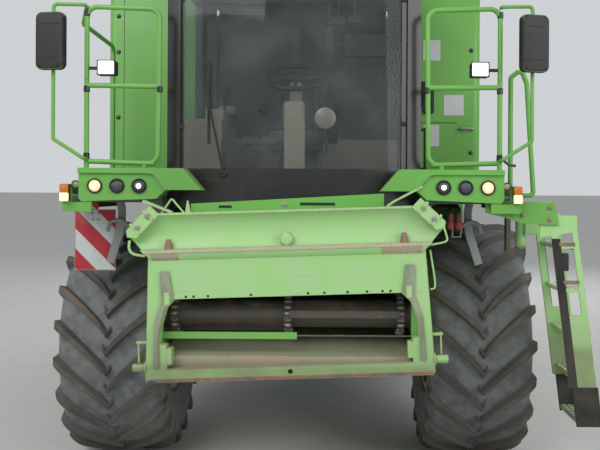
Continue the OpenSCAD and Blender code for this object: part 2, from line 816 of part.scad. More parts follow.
door_y0 = cab_y[1] - 200 - door_l;
door_cut_y = [door_y0, door_y0 + door_l];
door_cut_z = [cab_floor_top + 20, window_top - 20];
glass_rebate = 12;
module cab_shell() {
    color(trim_black)
        difference() {
            translate([0, 0, cab_floor_z])
                linear_extrude(cab_top_z - cab_floor_z)
                    cab_plan(0);
            translate([0, 0, cab_floor_top])
                linear_extrude(cab_top_z - cab_floor_top + 1)
                    cab_plan(cab_wall);
            block([-cab_x + 95, cab_x - 95], [cab_y[0] - 20, cab_y[0] + 260], [sill_z, window_top]);
            block([-cab_x - 1, -cab_x + cab_wall + 1], [door_cut_y[0] + 20, cab_y[1] - 160], [sill_z, window_top]);
            block([cab_x - cab_wall - 1, cab_x + 1], door_cut_y, door_cut_z);
            block([-cab_x + 160, cab_x - 160], [cab_y[1] - cab_wall - 1, cab_y[1] + 1], [sill_z + 350, window_top]);
        }
}

module cab_glass() {
    color(glass_tint) {
        intersection() {
            difference() {
                translate([0, cab_y[0] + screen_r, 0])
                    cylinder(h = 5000, r = screen_r - 20, $fn = 200);
                translate([0, cab_y[0] + screen_r, -1])
                    cylinder(h = 5002, r = screen_r - 20 - glass_t, $fn = 200);
            }
            block([-cab_x + 95 + seat_gap, cab_x - 95 - seat_gap], [cab_y[0] - 20, cab_y[0] + 260],
                  [sill_z + seat_gap, window_top - seat_gap]);
        }
        block([-cab_x + 20, -cab_x + 20 + glass_t],
              [door_cut_y[0] + 20 + seat_gap, cab_y[1] - 160 - seat_gap], [sill_z + seat_gap, window_top - seat_gap]);
        block([-cab_x + 160 + seat_gap, cab_x - 160 - seat_gap], [cab_y[1] - 20 - glass_t, cab_y[1] - 20],
              [sill_z + 350 + seat_gap, window_top - seat_gap]);
    }
}

// Roof with a rounded rim that stands out over the windscreen
module cab_roof() {
    lip = 90;
    color(body_green)
        difference() {
            union() {
                translate([0, 0, cab_top_z + seat_gap])
                    linear_extrude(roof_h * 0.55)
                        roof_plan(0);
                translate([0, 0, cab_top_z + roof_h * 0.55])
                    linear_extrude(roof_h * 0.45)
                        roof_plan(60);
            }
            for (s = [-1, 1], x = [250, 480])
                translate([s * x, cab_y[0] - lip - 20, cab_top_z + 55])
                    rotate([-90, 0, 0])
                        cylinder(h = 50, r = 62);
        }
}

module roof_plan(in) {
    intersection() {
        translate([-cab_x - 40 + in, cab_y[0] - 150 + in])
            square([cab_w + 80 - 2 * in, cab_l + 170 - 2 * in]);
        translate([0, cab_y[0] - 90 + screen_r])
            circle(screen_r - in, $fn = 200);
    }
}

// Cab door, framed round its own window, hinged at the cab's rear post
door_x = [cab_x - 50, cab_x];
cab_hinge = [cab_x + 12, door_cut_y[1] - 4];
cab_hinge_r = 10;
module cab_door() {
    y = [door_cut_y[0] + door_gap, door_cut_y[1] - door_gap];
    z = [door_cut_z[0] + door_gap, door_cut_z[1] - door_gap];
    color(trim_black) {
        difference() {
            block(door_x, y, z);
            block([door_x[0] - 1, door_x[1] + 1], [y[0] + 55, y[1] - 55], [z[0] + 90, z[1] - 60]);
        }
        for (h = [z[0] + 200, z[1] - 250]) {
            translate([cab_hinge[0], cab_hinge[1], h])
                cylinder(h = 90, r = cab_hinge_r);
            block([door_x[1] - 10, cab_hinge[0]], [y[1] - 40, cab_hinge[1] + 4], [h + 5, h + 85]);
        }
        bar([cab_x + 40, y[0] + 25, z[0] + 120], [cab_x + 40, y[0] + 25, z[0] + 420], 12);
        for (h = [z[0] + 135, z[0] + 405])
            bar([cab_x - 2, y[0] + 25, h], [cab_x + 40, y[0] + 25, h], 9);
        block([cab_x - 1, cab_x + 38], [y[0] + 6, y[0] + 60], [z[0] + 560, z[0] + 740]);
    }
}

module cab_door_glass() {
    y = [door_cut_y[0] + door_gap + 55, door_cut_y[1] - door_gap - 55];
    z = [door_cut_z[0] + door_gap + 90, door_cut_z[1] - door_gap - 60];
    color(glass_tint)
        block([cab_x - 30, cab_x - 30 + glass_t], [y[0] + seat_gap, y[1] - seat_gap], [z[0] + seat_gap, z[1] - seat_gap]);
}

seat_y = -470;
module driver_seat() {
    z0 = cab_floor_top + seat_gap;
    color(trim_black) {
        translate([0, seat_y, z0])
            cylinder(h = 40, r = 200);
        translate([-130, seat_y - 140, z0 + 30])
            cube([260, 280, 300]);
        translate([-250, seat_y - 270, z0 + 320])
            cube([500, 520, 130]);
        translate([0, seat_y + 240, z0 + 420])
            rotate([-10, 0, 0])
                translate([-240, -60, 0])
                    cube([480, 120, 560]);
        for (s = [-1, 1])
            translate([s * 285 - 35, seat_y - 140, z0 + 600])
                cube([70, 320, 60]);
        for (s = [-1, 1])
            translate([s * 285 - 15, seat_y + 120, z0 + 380])
                cube([30, 60, 240]);
        for (s = [-1, 1])
            translate([s * 268 - 20, seat_y + 120, z0 + 380])
                cube([40, 60, 40]);
    }
}

// Steering column with its wheel, two pedals and the console at the driver's right
wheel_c = [0, -930, cab_floor_top + 820];
wheel_tilt = 30;
module cab_controls() {
    z0 = cab_floor_top + seat_gap;
    foot = [0, -1090, z0];
    color(beige) {
        translate(foot + [-70, -60, 0])
            cube([140, 130, 480]);
        bar(foot + [0, 0, 450], wheel_c - [0, 0, 20], 45);
        block([-cab_x + cab_wall + seat_gap, -cab_x + 330], [-900, -150], [z0, z0 + 520]);
        block([-cab_x + 200, -cab_x + 330], [-820, -380], [z0 + 500, z0 + 600]);
    }
    color(trim_black) {
        translate(wheel_c)
            rotate([wheel_tilt, 0, 0]) {
                rotate_extrude()
                    translate([215, 0])
                        circle(16);
                cylinder(h = 40, r = 60, center = true);
                for (a = [30, 150, 270])
                    rotate(a)
                        rotate([0, 90, 0])
                            cylinder(h = 215, r = 11);
            }
        for (x = [-250, -130])
            translate([x - 40, -1130, z0 + 20 * sin(20)])
                rotate([-20, 0, 0])
                    cube([80, 20, 140]);
    }
}

// Green boxes across the front corners under the cab, with three round lamp pockets each
lamp_x = [930, 1080, 1235];
lamp_z = 2142;
lamp_r = 62;
module light_consoles() {
    color(body_green)
        both_sides() {
            difference() {
                along(console_y)
                    polygon([[640, console_z[1]], [720, console_z[0]], [1560, console_z[0]], [1590, console_z[0] + 40],
                             [1590, console_z[1] - 20], [1560, console_z[1]]]);
                for (x = lamp_x)
                    translate([x, console_y[0] - 1, lamp_z])
                        rotate([-90, 0, 0])
                            cylinder(h = 71, r = lamp_r + 8);
            }
        }
    color(body_green)
        block([-1590, -1370], [console_y[0] + 30, console_y[0] + 60], [console_z[0] - 70, console_z[0] + 1]);
}

// Lamp bodies: headlamps, corner lamps, work lamps and tail lamps
work_lamps = [
    // x, y, z, width, height
    [-1250, -1340, 2880, 120, 100], [1250, -1340, 2880, 120, 100]];
module lamps() {
    color([0.85, 0.86, 0.84]) {
        both_sides() {
            for (x = lamp_x)
                translate([x, console_y[0] + 20, lamp_z])
                    rotate([-90, 0, 0])
                        cylinder(h = 50 - seat_gap, r = lamp_r);
            block([1520, 1575], [console_y[0] - 40, console_y[0] - seat_gap], [console_z[0] + 20, console_z[0] + 140]);
            block([hood_x - 130, hood_x - 30], [hood_y[1] + seat_gap, hood_y[1] + 40], [hood_z + 420, hood_z + 610]);
        }
        for (l = work_lamps) {
            translate([l[0] - l[3] / 2, l[1], l[2]])
                cube([l[3], 70, l[4]]);
            mirror([l[0] < 0 ? 1 : 0, 0, 0])
                block([abs(l[0]) + l[3] / 2 - 1, 1390 - rail_d / 2 - seat_gap], [rail_y - 10, rail_y + 10],
                      [l[2] + 40, l[2] + 60]);
        }
    }
}

// Walkways beside the cab
module platforms() {
    color(frame_grey)
        both_sides() {
            block([cab_x + seat_gap, platform_x], platform_y, [platform_z - platform_t, platform_z]);
            block([platform_x - 30, platform_x], platform_y, [platform_z - 90, platform_z + 60]);
            block([cab_x + seat_gap, core_x + rail_t], platform_y, [cab_floor_z, platform_z - platform_t + 1]);
        }
    color(frame_grey) {
        block([platform_x - 30, platform_x], [ladder_pivot[1] - 38, ladder_pivot[1] + 38],
              [ladder_top - 275, platform_z - 89]);
        for (z = [ladder_top - 275, ladder_top + seat_gap])
            translate([0, 0, z]) {
                block([platform_x - 1, ladder_pivot[0]], [ladder_pivot[1] - 38, ladder_pivot[1] + 38], [0, 25 - seat_gap]);
                translate(ladder_pivot)
                    cylinder(h = 25 - seat_gap, r = 38);
            }
        translate([ladder_pivot[0], ladder_pivot[1], ladder_top - 270])
            cylinder(h = 290, r = 25);
    }
}

// Tube rails round both platforms, with the uprights at the ladder
rail_y = -1310;
module railings() {
    r = rail_d / 2;
    foot = platform_z + seat_gap;
    color(body_green) {
        both_sides() {
            bent_tube([[960, rail_y, foot + 220], [910, rail_y, foot + 220], [900, rail_y, 3330],
                       [1390, rail_y, 3345], [1390, rail_y, foot]], r, 70);
            bar([905, rail_y, 2810], [1390, rail_y, 2815], r);
            bar([930, rail_y, foot + 220], [1390, rail_y, foot + 235], r);
            bar([1000, rail_y, foot], [1000, rail_y, foot + 220], r);
        }
        mirror([1, 0, 0])
            bent_tube([[1390, rail_y, 3345], [1450, rail_y + 120, 3250], [1490, -300, 3250], [1490, -300, foot]], r, 60);
        bent_tube([[1490, -1180, foot], [1490, -1180, 2900], [1560, -1180, 2960], [1600, -1180, 2860],
                   [1650, -1180, platform_z + 20], [platform_x + seat_gap, -1180, platform_z + 20]], r, 30);
    }
}

// Mirrors on their tube arms, each clamped to its arm from behind
mirror_t = 42;
module mirror_head(c, turn) {
    color(trim_black)
        translate(c) {
            rotate(turn)
                along([-mirror_t / 2, mirror_t / 2])
                    polygon(round_rect(mirror_w, mirror_h, 35));
            block([-18, 18], [0, mirror_arm_back + 18], [-30, 30]);
        }
}

mirror_arm_r = 13;
mirror_arm_back = 46;
module mirrors() {
    head = [1590, -1430, 3090];
    arm_y = head[1] + mirror_arm_back;
    rail_front = rail_y - rail_d / 2 - seat_gap;
    color(body_green)
        both_sides()
            bent_tube([[1390, rail_front, 3345], [1390, rail_front - 40, 3345], [head[0], arm_y, 3345],
                       [head[0], arm_y, 2450], [1390, rail_front - 40, 2320],
                       [1390, rail_front, 2320]], mirror_arm_r, 26);
    mirror_head([-head[0], head[1], head[2]], -8);
    mirror_head(head, 14);
}

// Board with slanting stripes in front of the right tyre
board_c = [-1460, -1530, 1760];
module marker_board() {
    color([0.85, 0.1, 0.08]) {
        translate(board_c - [board_w / 2, 0, board_h / 2])
            cube([board_w, 4, board_h]);
        translate(board_c + [-20, 3.9, board_h / 2 - 120])
            cube([40, 20, 150]);
        translate(board_c + [110, 3.9, -10])
            rotate([-90, 0, 0])
                cylinder(h = 40, r = 90);
        block([board_c[0] - 20, board_c[0] + 20], [board_c[1] + 3, console_y[0] + 30 - seat_gap],
              [board_c[2] + board_h / 2 - 16, board_c[2] + board_h / 2 - 4]);
    }
}

// Access ladder, hung on a post at the platform's corner so that it swings to the front
ladder_pivot = [1620, -930];
ladder_top = 1960;
ladder_bottom = 560;
ladder_steps = 5;
function ladder_x(z) = 1700 + (ladder_top - z) * 0.125;
module ladder() {
    y = [ladder_pivot[1] - 50 - ladder_w, ladder_pivot[1] - 50];
    color(body_green) {
        for (yy = [y[0], y[1] - 12])
            translate([0, yy + 12, 0])
                rotate([90, 0, 0])
                    linear_extrude(12) {
                        polygon([[ladder_x(ladder_top) - 60, ladder_top], [ladder_x(ladder_top) + 190, ladder_top],
                                 [ladder_x(ladder_top) + 190, ladder_top - 110], [ladder_x(ladder_top) - 60, ladder_top - 150]]);
                        polygon([[ladder_x(ladder_top), ladder_top - 1], [ladder_x(ladder_top) + 50, ladder_top - 1],
                                 [ladder_x(820) + 50, 820], [ladder_x(820), 820]]);
                        polygon([[ladder_x(ladder_top) + 140, ladder_top - 1], [ladder_x(ladder_top) + 180, ladder_top - 1],
                                 [ladder_x(820) + 180, 820], [ladder_x(820) + 140, 820]]);
                        polygon([[ladder_x(1300), 1300], [ladder_x(1300) + 180, 1300],
                                 [ladder_x(820) + 180, 820], [ladder_x(820), 820]]);
                        polygon([[ladder_x(821) + 20, 821], [ladder_x(821) + 190, 821],
                                 [ladder_x(ladder_bottom) + 190, ladder_bottom], [ladder_x(ladder_bottom) + 20, ladder_bottom]]);
                    }
        for (i = [0 : ladder_steps - 1]) {
            z = ladder_bottom + 20 + i * 290;
            block([ladder_x(z) + 22, ladder_x(z) + 178], [y[0] + 1, y[1] - 1], [z, z + 25]);
        }
        translate([ladder_pivot[0], ladder_pivot[1], ladder_top - 250])
            difference() {
                cylinder(h = 250, r = 38);
                translate([0, 0, -1])
                    cylinder(h = 252, r = 25 + run_gap);
            }
        for (z = [ladder_top - 40, ladder_top - 150])
            block([ladder_pivot[0] + 30, ladder_x(ladder_top) + 20], [y[1] - 11, ladder_pivot[1] + 20], [z, z + 20]);
    }
}

// Feeder house: a tapering duct on its pivot, with its front flange and the roll pin
feeder_pivot = [0, -150, 1600];
trunnion_r = 60;
flange_y = feeder_pivot[1] - feeder_l;
flange_t = 40;
feeder_x = feeder_w / 2;
roll_z = 1850;
feeder_pin = [0, -1200, 1100];
lift_drift = 12;
mouth_z = [1120, 1560];
function feeder_points() = [
    [flange_y + 1, 1075], [flange_y + 1, 1870], [flange_y + 500, 1885], [-330, 1860], [-140, 1760],
    [-120, 1500], [-300, 1320], [-700, 1250]];
module feeder_house() {
    color(body_green) {
        difference() {
            across([-feeder_x, feeder_x])
                polygon(feeder_points());
            across([-feeder_x + feeder_t, feeder_x - feeder_t])
                polygon([[flange_y - 1, mouth_z[0] - 20], [flange_y - 1, mouth_z[1]], [flange_y + 300, 1700],
                         [-400, 1780], [-100, 1720], [-100, 1530], [-320, 1360], [-700, 1275]]);
        }
        difference() {
            along([flange_y - flange_t, flange_y + 2])
                polygon([[-feeder_x, 1075], [feeder_x, 1075], [feeder_x, 1870], [-feeder_x, 1870]]);
            along([flange_y - flange_t - 1, flange_y + 3])
                polygon([[-feeder_x + 50, mouth_z[0]], [feeder_x - 50, mouth_z[0]],
                         [feeder_x - 50, mouth_z[1] - 60], [feeder_x - 120, mouth_z[1]],
                         [-feeder_x + 120, mouth_z[1]], [-feeder_x + 50, mouth_z[1] - 60]]);
        }
        bar([0, flange_y, roll_z - 20], [0, flange_y - flange_t - 90, roll_z - 20], roll_pin_d / 2);
        both_sides() {
            bar([feeder_x - 1, feeder_pivot[1], feeder_pivot[2]],
                [core_x + rail_t - 4, feeder_pivot[1], feeder_pivot[2]], trunnion_r);
            for (x = [lift_x - 85, lift_x + 60])
                across([x, x + 25])
                    difference() {
                        polygon([[feeder_pin[1] - 160, 1150], [feeder_pin[1] + 160, 1205],
                                 [feeder_pin[1] + 60, feeder_pin[2] - 60], [feeder_pin[1] - 60, feeder_pin[2] - 60]]);
                        translate([feeder_pin[1], feeder_pin[2]])
                            circle(lift_pin_r + lift_drift);
                    }
        }
    }
}

// Drum, chains and slats inside the feeder house
drum = [0, flange_y + 170, 1345];
tail = [0, -420, 1560];
drum_r = 110;
chain_x = feeder_x - 105;
chain_w = 36;
chain_pitch = 76;
chain_run = norm(tail - drum);
chain_lean = atan2(tail[2] - drum[2], tail[1] - drum[1]);

// Point at distance s along a loop of radius r round the drum and the tail shaft
function on_loop(s, r) =
    s < chain_run ? [s, r] :
    s < chain_run + PI * r ? let (a = 90 - (s - chain_run) / r * 180 / PI) [chain_run + r * cos(a), r * sin(a)] :
    s < 2 * chain_run + PI * r ? [2 * chain_run + PI * r - s, -r] :
    let (a = 270 - (s - 2 * chain_run - PI * r) / r * 180 / PI) [r * cos(a), r * sin(a)];

// Outline of a loop, with one hump for each link
function loop_points(r, hump) =
    let (l = 2 * chain_run + 2 * PI * r, links = round(l / chain_pitch))
    [for (i = [0 : 2 * links - 1])
        let (p = on_loop(i * l / (2 * links), r), q = on_loop(i * l / (2 * links), r + 1))
        p + (q - p) * (i % 2) * hump];

module feeder_chain() {
    inner_x = feeder_x - feeder_t - seat_gap;
    color(worn_steel)
        translate([0, drum[1], drum[2]])
            rotate([chain_lean, 0, 0]) {
                for (y = [0, chain_run])
                    bar([-inner_x, y, 0], [inner_x, y, 0], drum_r - 25);
                for (x = [-chain_x, 0, chain_x])
                    across([x - chain_w / 2, x + chain_w / 2])
                        difference() {
                            polygon(loop_points(drum_r, 14));
                            polygon(loop_points(drum_r - 30, 0));
                        }
                for (i = [0 : slats / 2 - 1], s = [-1, 1], side = [-1, 1])
                    translate([0, (i + (s > 0 ? 0.75 : 0.25)) * chain_run / (slats / 2), 0])
                        block(s > 0 ? [-chain_w / 2, chain_x] : [-chain_x, chain_w / 2], [-6, 30],
                              side > 0 ? [drum_r - 12, drum_r + 18] : [-drum_r - 18, 12 - drum_r]);
            }
}

// Frame that carries the header, rolled on its pin as it was left
frame_y = [flange_y - flange_t - 76, flange_y - flange_t - 6];
frame_x = 840;
module header_frame() {
    roll_c = [0, 0, roll_z - 20];
    color(body_green)
        translate(roll_c)
            rotate([0, -frame_roll, 0])
                translate(-roll_c)
                    header_frame_flat();
}

module header_frame_flat() {
    difference() {
        along(frame_y)
            polygon([[-frame_x, 1010], [frame_x, 1010], [frame_x, 1900], [frame_x - 60, 1960],
                     [-frame_x + 60, 1960], [-frame_x, 1900]]);
        along([frame_y[0] - 1, frame_y[1] + 1])
            polygon([[-frame_x + 75, 1075], [frame_x - 75, 1075], [frame_x - 75, 1250], [frame_x - 175, 1490],
                     [-frame_x + 175, 1490], [-frame_x + 75, 1250]]);
        block([-frame_x + 95, frame_x - 95], [frame_y[0] - 1, frame_y[0] + 40], [1520, 1740]);
        block([-frame_x + 95, -120], [frame_y[0] - 1, frame_y[0] + 40], [1800, 1925]);
        block([120, frame_x - 95], [frame_y[0] - 1, frame_y[0] + 40], [1800, 1925]);
        bar([0, frame_y[0] - 10, roll_z - 20], [0, frame_y[1] + 10, roll_z - 20], roll_pin_d / 2 + run_gap);
        bar([0, frame_y[0] - 10, 1042], [0, frame_y[1] + 10, 1042], 15);
    }
    bar([-frame_x + 30, frame_y[0] - 10, 1768], [frame_x - 30, frame_y[0] - 10, 1768], 22);
    both_sides() {
        bar([frame_x - 1, frame_y[0] + 30, 1085], [frame_x + 100, frame_y[0] + 30, 1085], 24);
        along([frame_y[0] - 40, frame_y[0] + 20])
            polygon([[frame_x - 90, 1890], [frame_x + 20, 1890], [frame_x + 95, 1850], [frame_x + 60, 1930],
                     [frame_x, 1985], [frame_x - 90, 1985]]);
    }
}

// Lift cylinders: barrels on the axle's brackets, rods on the feeder's
lift_v = feeder_pin - lift_pin;
lift_len = norm(lift_v);
lift_turn = atan2(lift_v[2], lift_v[1]);
barrel_l = 500;
rod_back = 580;
module lift_place() {
    translate(lift_pin)
        rotate([lift_turn, 0, 0])
            rotate([-90, 0, 0])
                children();
}

module lift_barrels() {
    color(frame_grey)
        for (x = [-lift_x, lift_x])
            translate([x, 0, 0])
                lift_place()
                    difference() {
                        union() {
                            translate([0, 0, 45])
                                cylinder(h = barrel_l - 45, r = lift_barrel_d / 2);
                            rotate([0, 90, 0])
                                cylinder(h = 110, r = 52, center = true);
                        }
                        rotate([0, 90, 0])
                            cylinder(h = 120, r = lift_pin_r + run_gap, center = true);
                        translate([0, 0, 60])
                            cylinder(h = barrel_l - 100, r = lift_barrel_d / 2 - 12);
                        translate([0, 0, 60])
                            cylinder(h = barrel_l, r = lift_rod_d / 2 + run_gap);
                    }
}

module lift_rods() {
    color([0.75, 0.76, 0.78])
        for (x = [-lift_x, lift_x])
            translate([x, 0, 0])
                lift_place() {
                    translate([0, 0, lift_len])
                        rotate([0, 90, 0])
                            cylinder(h = 180, r = lift_pin_r, center = true);
                    difference() {
                        union() {
                            translate([0, 0, lift_len - rod_back])
                                cylinder(h = rod_back - 30, r = lift_rod_d / 2);
                            translate([0, 0, lift_len])
                                rotate([0, 90, 0])
                                    cylinder(h = 100, r = 50, center = true);
                        }
                        translate([0, 0, lift_len])
                            rotate([0, 90, 0])
                                cylinder(h = 120, r = lift_pin_r - 1, center = true);
                    }
                }
}

// Rear axle beam with forked ends, and the pin on which it can rock
kingpin_x = 880;
kingpin_r = 40;
beam_x = kingpin_x - 155;
fork_z = [rear_r - 140, rear_r - 110, rear_r + 110, rear_r + 140];
module rear_axle() {
    color(frame_grey) {
        along([wheelbase - beam_y, wheelbase + beam_y])
            polygon([[-beam_x, fork_z[0]], [-500, rear_r - 90], [500, rear_r - 90], [beam_x, fork_z[0]],
                     [beam_x, fork_z[3]], [300, rear_r + 120], [-300, rear_r + 120], [-beam_x, fork_z[3]]]);
        bar([0, wheelbase - beam_y - stand_t - 30, rear_r], [0, wheelbase + beam_y + stand_t + 30, rear_r], 60);
        both_sides() {
            for (z = [fork_z[0], fork_z[2]])
                translate([0, 0, z]) {
                    block([beam_x - 1, kingpin_x], [wheelbase - 75, wheelbase + 75], [0, 30]);
                    translate([kingpin_x, wheelbase, 0])
                        cylinder(h = 30, r = 75);
                }
            translate([kingpin_x, wheelbase, fork_z[0] - 10])
                cylinder(h = fork_z[3] - fork_z[0] + 20, r = kingpin_r);
        }
    }
}

// Steering knuckle: a barrel on the kingpin, the spindle and the steering arm
arm_l = 230;
arm_z = [fork_z[1] + 12, fork_z[1] + 36];
module knuckle() {
    hub_x = rear_x + rear_disc_x;
    color(frame_grey)
        difference() {
            union() {
                translate([kingpin_x, wheelbase, fork_z[1] + seat_gap])
                    cylinder(h = fork_z[2] - fork_z[1] - 2 * seat_gap, r = 72);
                bar([kingpin_x + 30, wheelbase, rear_r], [hub_x - 20, wheelbase, rear_r], 66);
                bar([hub_x - 30, wheelbase, rear_r], [hub_x - seat_gap, wheelbase, rear_r], 120);
                bar([hub_x - 30, wheelbase, rear_r], [hub_x + 45, wheelbase, rear_r], rear_hub_r);
                translate([0, 0, arm_z[0]])
                    linear_extrude(arm_z[1] - arm_z[0])
                        polygon([[kingpin_x - 60, wheelbase], [kingpin_x + 60, wheelbase],
                                 [kingpin_x + 35, wheelbase + arm_l + 30], [kingpin_x - 35, wheelbase + arm_l + 30]]);
            }
            translate([kingpin_x, wheelbase, fork_z[0]])
                cylinder(h = fork_z[3] - fork_z[0], r = kingpin_r + run_gap);
        }
}

module knuckle_left() {
    knuckle();
}

module knuckle_right() {
    mirror([1, 0, 0])
        knuckle();
}

module steering_rod() {
    z = arm_z[1] + 45;
    color(worn_steel) {
        bar([-kingpin_x, wheelbase + arm_l, z], [kingpin_x, wheelbase + arm_l, z], 22);
        both_sides()
            translate([kingpin_x, wheelbase + arm_l, arm_z[1] + seat_gap])
                cylinder(h = 75, r = 34);
    }
}

// Fixed part of the auger's turret and the cradle that guides the stowed tube
auger_c = [1350, 430, 3010];
auger_bend = 230;
auger_z = auger_c[2] + 30 + auger_bend;
auger_r = auger_d / 2;
cradle_y = hood_y[0] + 700;
module auger_turret() {
    color(dark_green) {
        difference() {
            translate([auger_c[0], auger_c[1], recess_z + seat_gap])
                cylinder(h = auger_c[2] - recess_z - 2 * seat_gap, r = auger_r - 5);
            translate([auger_c[0], auger_c[1], recess_z])
                cylinder(h = 400, r = auger_r - 20);
        }
        along([cradle_y, cradle_y + 80])
            difference() {
                polygon([[hood_x - 150, hood_roof_z(cradle_y) + seat_gap], [hood_x, hood_roof_z(cradle_y) + seat_gap],
                         [hood_x, auger_z - auger_r + 10], [hood_x - 60, auger_z - auger_r + 10],
                         [hood_x - 150, auger_z - 60]]);
                translate([auger_c[0], auger_z])
                    circle(auger_r + 8);
            }
    }
}

module auger_tube() {
    color(body_green) {
        difference() {
            translate([auger_c[0], auger_c[1], auger_c[2]])
                cylinder(h = 30, r = auger_r);
            translate([auger_c[0], auger_c[1], auger_c[2] - 1])
                cylinder(h = 32, r = auger_r - 20);
        }
        translate([auger_c[0], auger_c[1] + auger_bend, auger_c[2] + 30])
            rotate([90, 0, -90])
                rotate_extrude(angle = 90)
                    translate([auger_bend, 0])
                        difference() {
                            circle(auger_r);
                            circle(auger_r - 20);
                        }
        difference() {
            bar([auger_c[0], auger_c[1] + auger_bend, auger_z], [auger_c[0], auger_c[1] + auger_l, auger_z], auger_r);
            bar([auger_c[0], auger_c[1] + auger_bend - 1, auger_z], [auger_c[0], auger_c[1] + auger_l + 1, auger_z], auger_r - 8);
        }
    }
}

// Ladder on the back of the hood, up to the engine deck
module rear_ladder() {
    x = [-950, -570];
    y = hood_y[1] + 60;
    color(body_green) {
        for (xx = x)
            bent_tube([[xx, hood_y[1] - 560, hood_roof_z(hood_y[1] - 577) + seat_gap],
                       [xx, hood_y[1] - 560, hood_top + 60], [xx, hood_y[1] - 300, hood_top + 100],
                       [xx, y, hood_top - 500], [xx, y, hood_z + 400]], 17, 90);
        for (i = [0 : 3])
            bar([x[0], y, hood_z + 550 + i * 130], [x[1], y, hood_z + 550 + i * 130], 14);
        for (xx = x)
            bar([xx, hood_y[1] + seat_gap, hood_z + 430], [xx, y, hood_z + 430], 12);
    }
}

front_end = frame_y[0] - 40;
back_end = chop_c[1] + 920;
right_end = -front_x - front_tyre_w / 2;
left_end = ladder_x(ladder_bottom) + 190;
module placed() {
    translate([-(right_end + left_end) / 2, -(front_end + back_end) / 2, 0])
        children();
}

placed() chassis_frame();
placed() front_axle();
placed() body_core();
placed() front_panels();
placed() rear_panels();
placed() grain_tank();
placed() tank_lid_left();
placed() tank_lid_right();
placed() engine_block();
placed() engine_housing();
placed() air_screen();
placed() exhaust();
placed() air_cleaner();
placed() straw_hood();
placed() chopper_housing();
placed() chopper_rotor();
placed() side_door_left();
placed() side_door_right();
placed() side_drives();
placed() cab_shell();
placed() cab_roof();
placed() cab_glass();
placed() cab_door();
placed() cab_door_glass();
placed() driver_seat();
placed() cab_controls();
placed() light_consoles();
placed() lamps();
placed() platforms();
placed() railings();
placed() mirrors();
placed() marker_board();
placed() ladder();
placed() feeder_house();
placed() feeder_chain();
placed() header_frame();
placed() lift_barrels();
placed() lift_rods();
placed() front_tyre(1);  // front_tyre_left
placed() front_tyre(-1);  // front_tyre_right
placed() front_rim(1);  // front_rim_left
placed() front_rim(-1);  // front_rim_right
placed() rear_axle();
placed() knuckle_left();
placed() knuckle_right();
placed() steering_rod();
placed() rear_tyre(1);  // rear_tyre_left
placed() rear_tyre(-1);  // rear_tyre_right
placed() rear_rim(1);  // rear_rim_left
placed() rear_rim(-1);  // rear_rim_right
placed() auger_turret();
placed() auger_tube();
placed() rear_ladder();
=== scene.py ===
"""Combine harvester without its header: finishes, fine forms, stage and camera."""

import json
import math

import bmesh
import bpy
import numpy as np
from bpy.props import FloatProperty, FloatVectorProperty, IntProperty, PointerProperty
from mathutils import Matrix, Vector


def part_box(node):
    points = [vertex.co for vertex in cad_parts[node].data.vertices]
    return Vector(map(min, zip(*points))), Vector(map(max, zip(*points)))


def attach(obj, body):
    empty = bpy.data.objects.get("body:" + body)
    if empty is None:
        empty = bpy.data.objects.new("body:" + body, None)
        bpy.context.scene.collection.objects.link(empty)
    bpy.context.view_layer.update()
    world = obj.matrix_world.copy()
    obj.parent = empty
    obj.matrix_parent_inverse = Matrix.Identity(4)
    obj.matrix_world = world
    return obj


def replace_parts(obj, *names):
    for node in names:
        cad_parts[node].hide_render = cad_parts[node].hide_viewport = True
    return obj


bl_info = {
    "name": "Combine harvester finish",
    "version": (1, 0, 0),
    "blender": (4, 5, 0),
    "location": "View3D > Sidebar > Harvester",
    "description": "Dresses the harvester's frame with its fine forms, finishes, stage and camera",
    "category": "Object",
}

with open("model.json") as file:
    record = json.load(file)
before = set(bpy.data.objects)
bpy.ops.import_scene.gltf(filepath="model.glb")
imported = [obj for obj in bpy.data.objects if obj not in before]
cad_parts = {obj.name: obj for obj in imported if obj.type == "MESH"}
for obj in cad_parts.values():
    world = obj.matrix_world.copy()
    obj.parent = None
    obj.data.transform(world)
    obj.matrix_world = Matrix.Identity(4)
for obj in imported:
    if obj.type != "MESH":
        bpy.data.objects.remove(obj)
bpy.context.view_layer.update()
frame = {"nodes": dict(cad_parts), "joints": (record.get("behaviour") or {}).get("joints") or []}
nodes = frame["nodes"]
joint_at = {j["name"]: np.array(j["pos_m"]) for j in frame["joints"] if "pos_m" in j}

# The machine's middle plane and front axle, from which all places here are measured
MID = np.array([(joint_at["front_wheel_left_spin"][0] + joint_at["front_wheel_right_spin"][0]) / 2,
                joint_at["front_wheel_left_spin"][1], 0.0])
BOTH = (-1, 1)


def at(x, y, z):
    """A point given from the middle plane, the front axle and the ground, in the frame's metres."""
    return MID + np.array([x, y, z])


# Surfaces: each shape is an array of points and a list of faces

def ring(radius, count, start=0.0, turn=2 * math.pi):
    """Points of a circle: the cosine and sine of evenly spaced angles, times the radius."""
    a = start + np.linspace(0, turn, count, endpoint=False)
    return np.stack([np.cos(a), np.sin(a)], 1) * radius


def round_rect(w, h, r, steps=4):
    """Outline of a rectangle whose corners are quarter circles of radius r."""
    a = np.radians(np.arange(0, 360, 90))[:, None] + np.linspace(0, math.pi / 2, steps + 1)
    corner = np.array([[1, 1], [-1, 1], [-1, -1], [1, -1]])[:, None] * [w / 2 - r, h / 2 - r]
    return (corner + np.stack([np.cos(a), np.sin(a)], 2) * r).reshape(-1, 2)


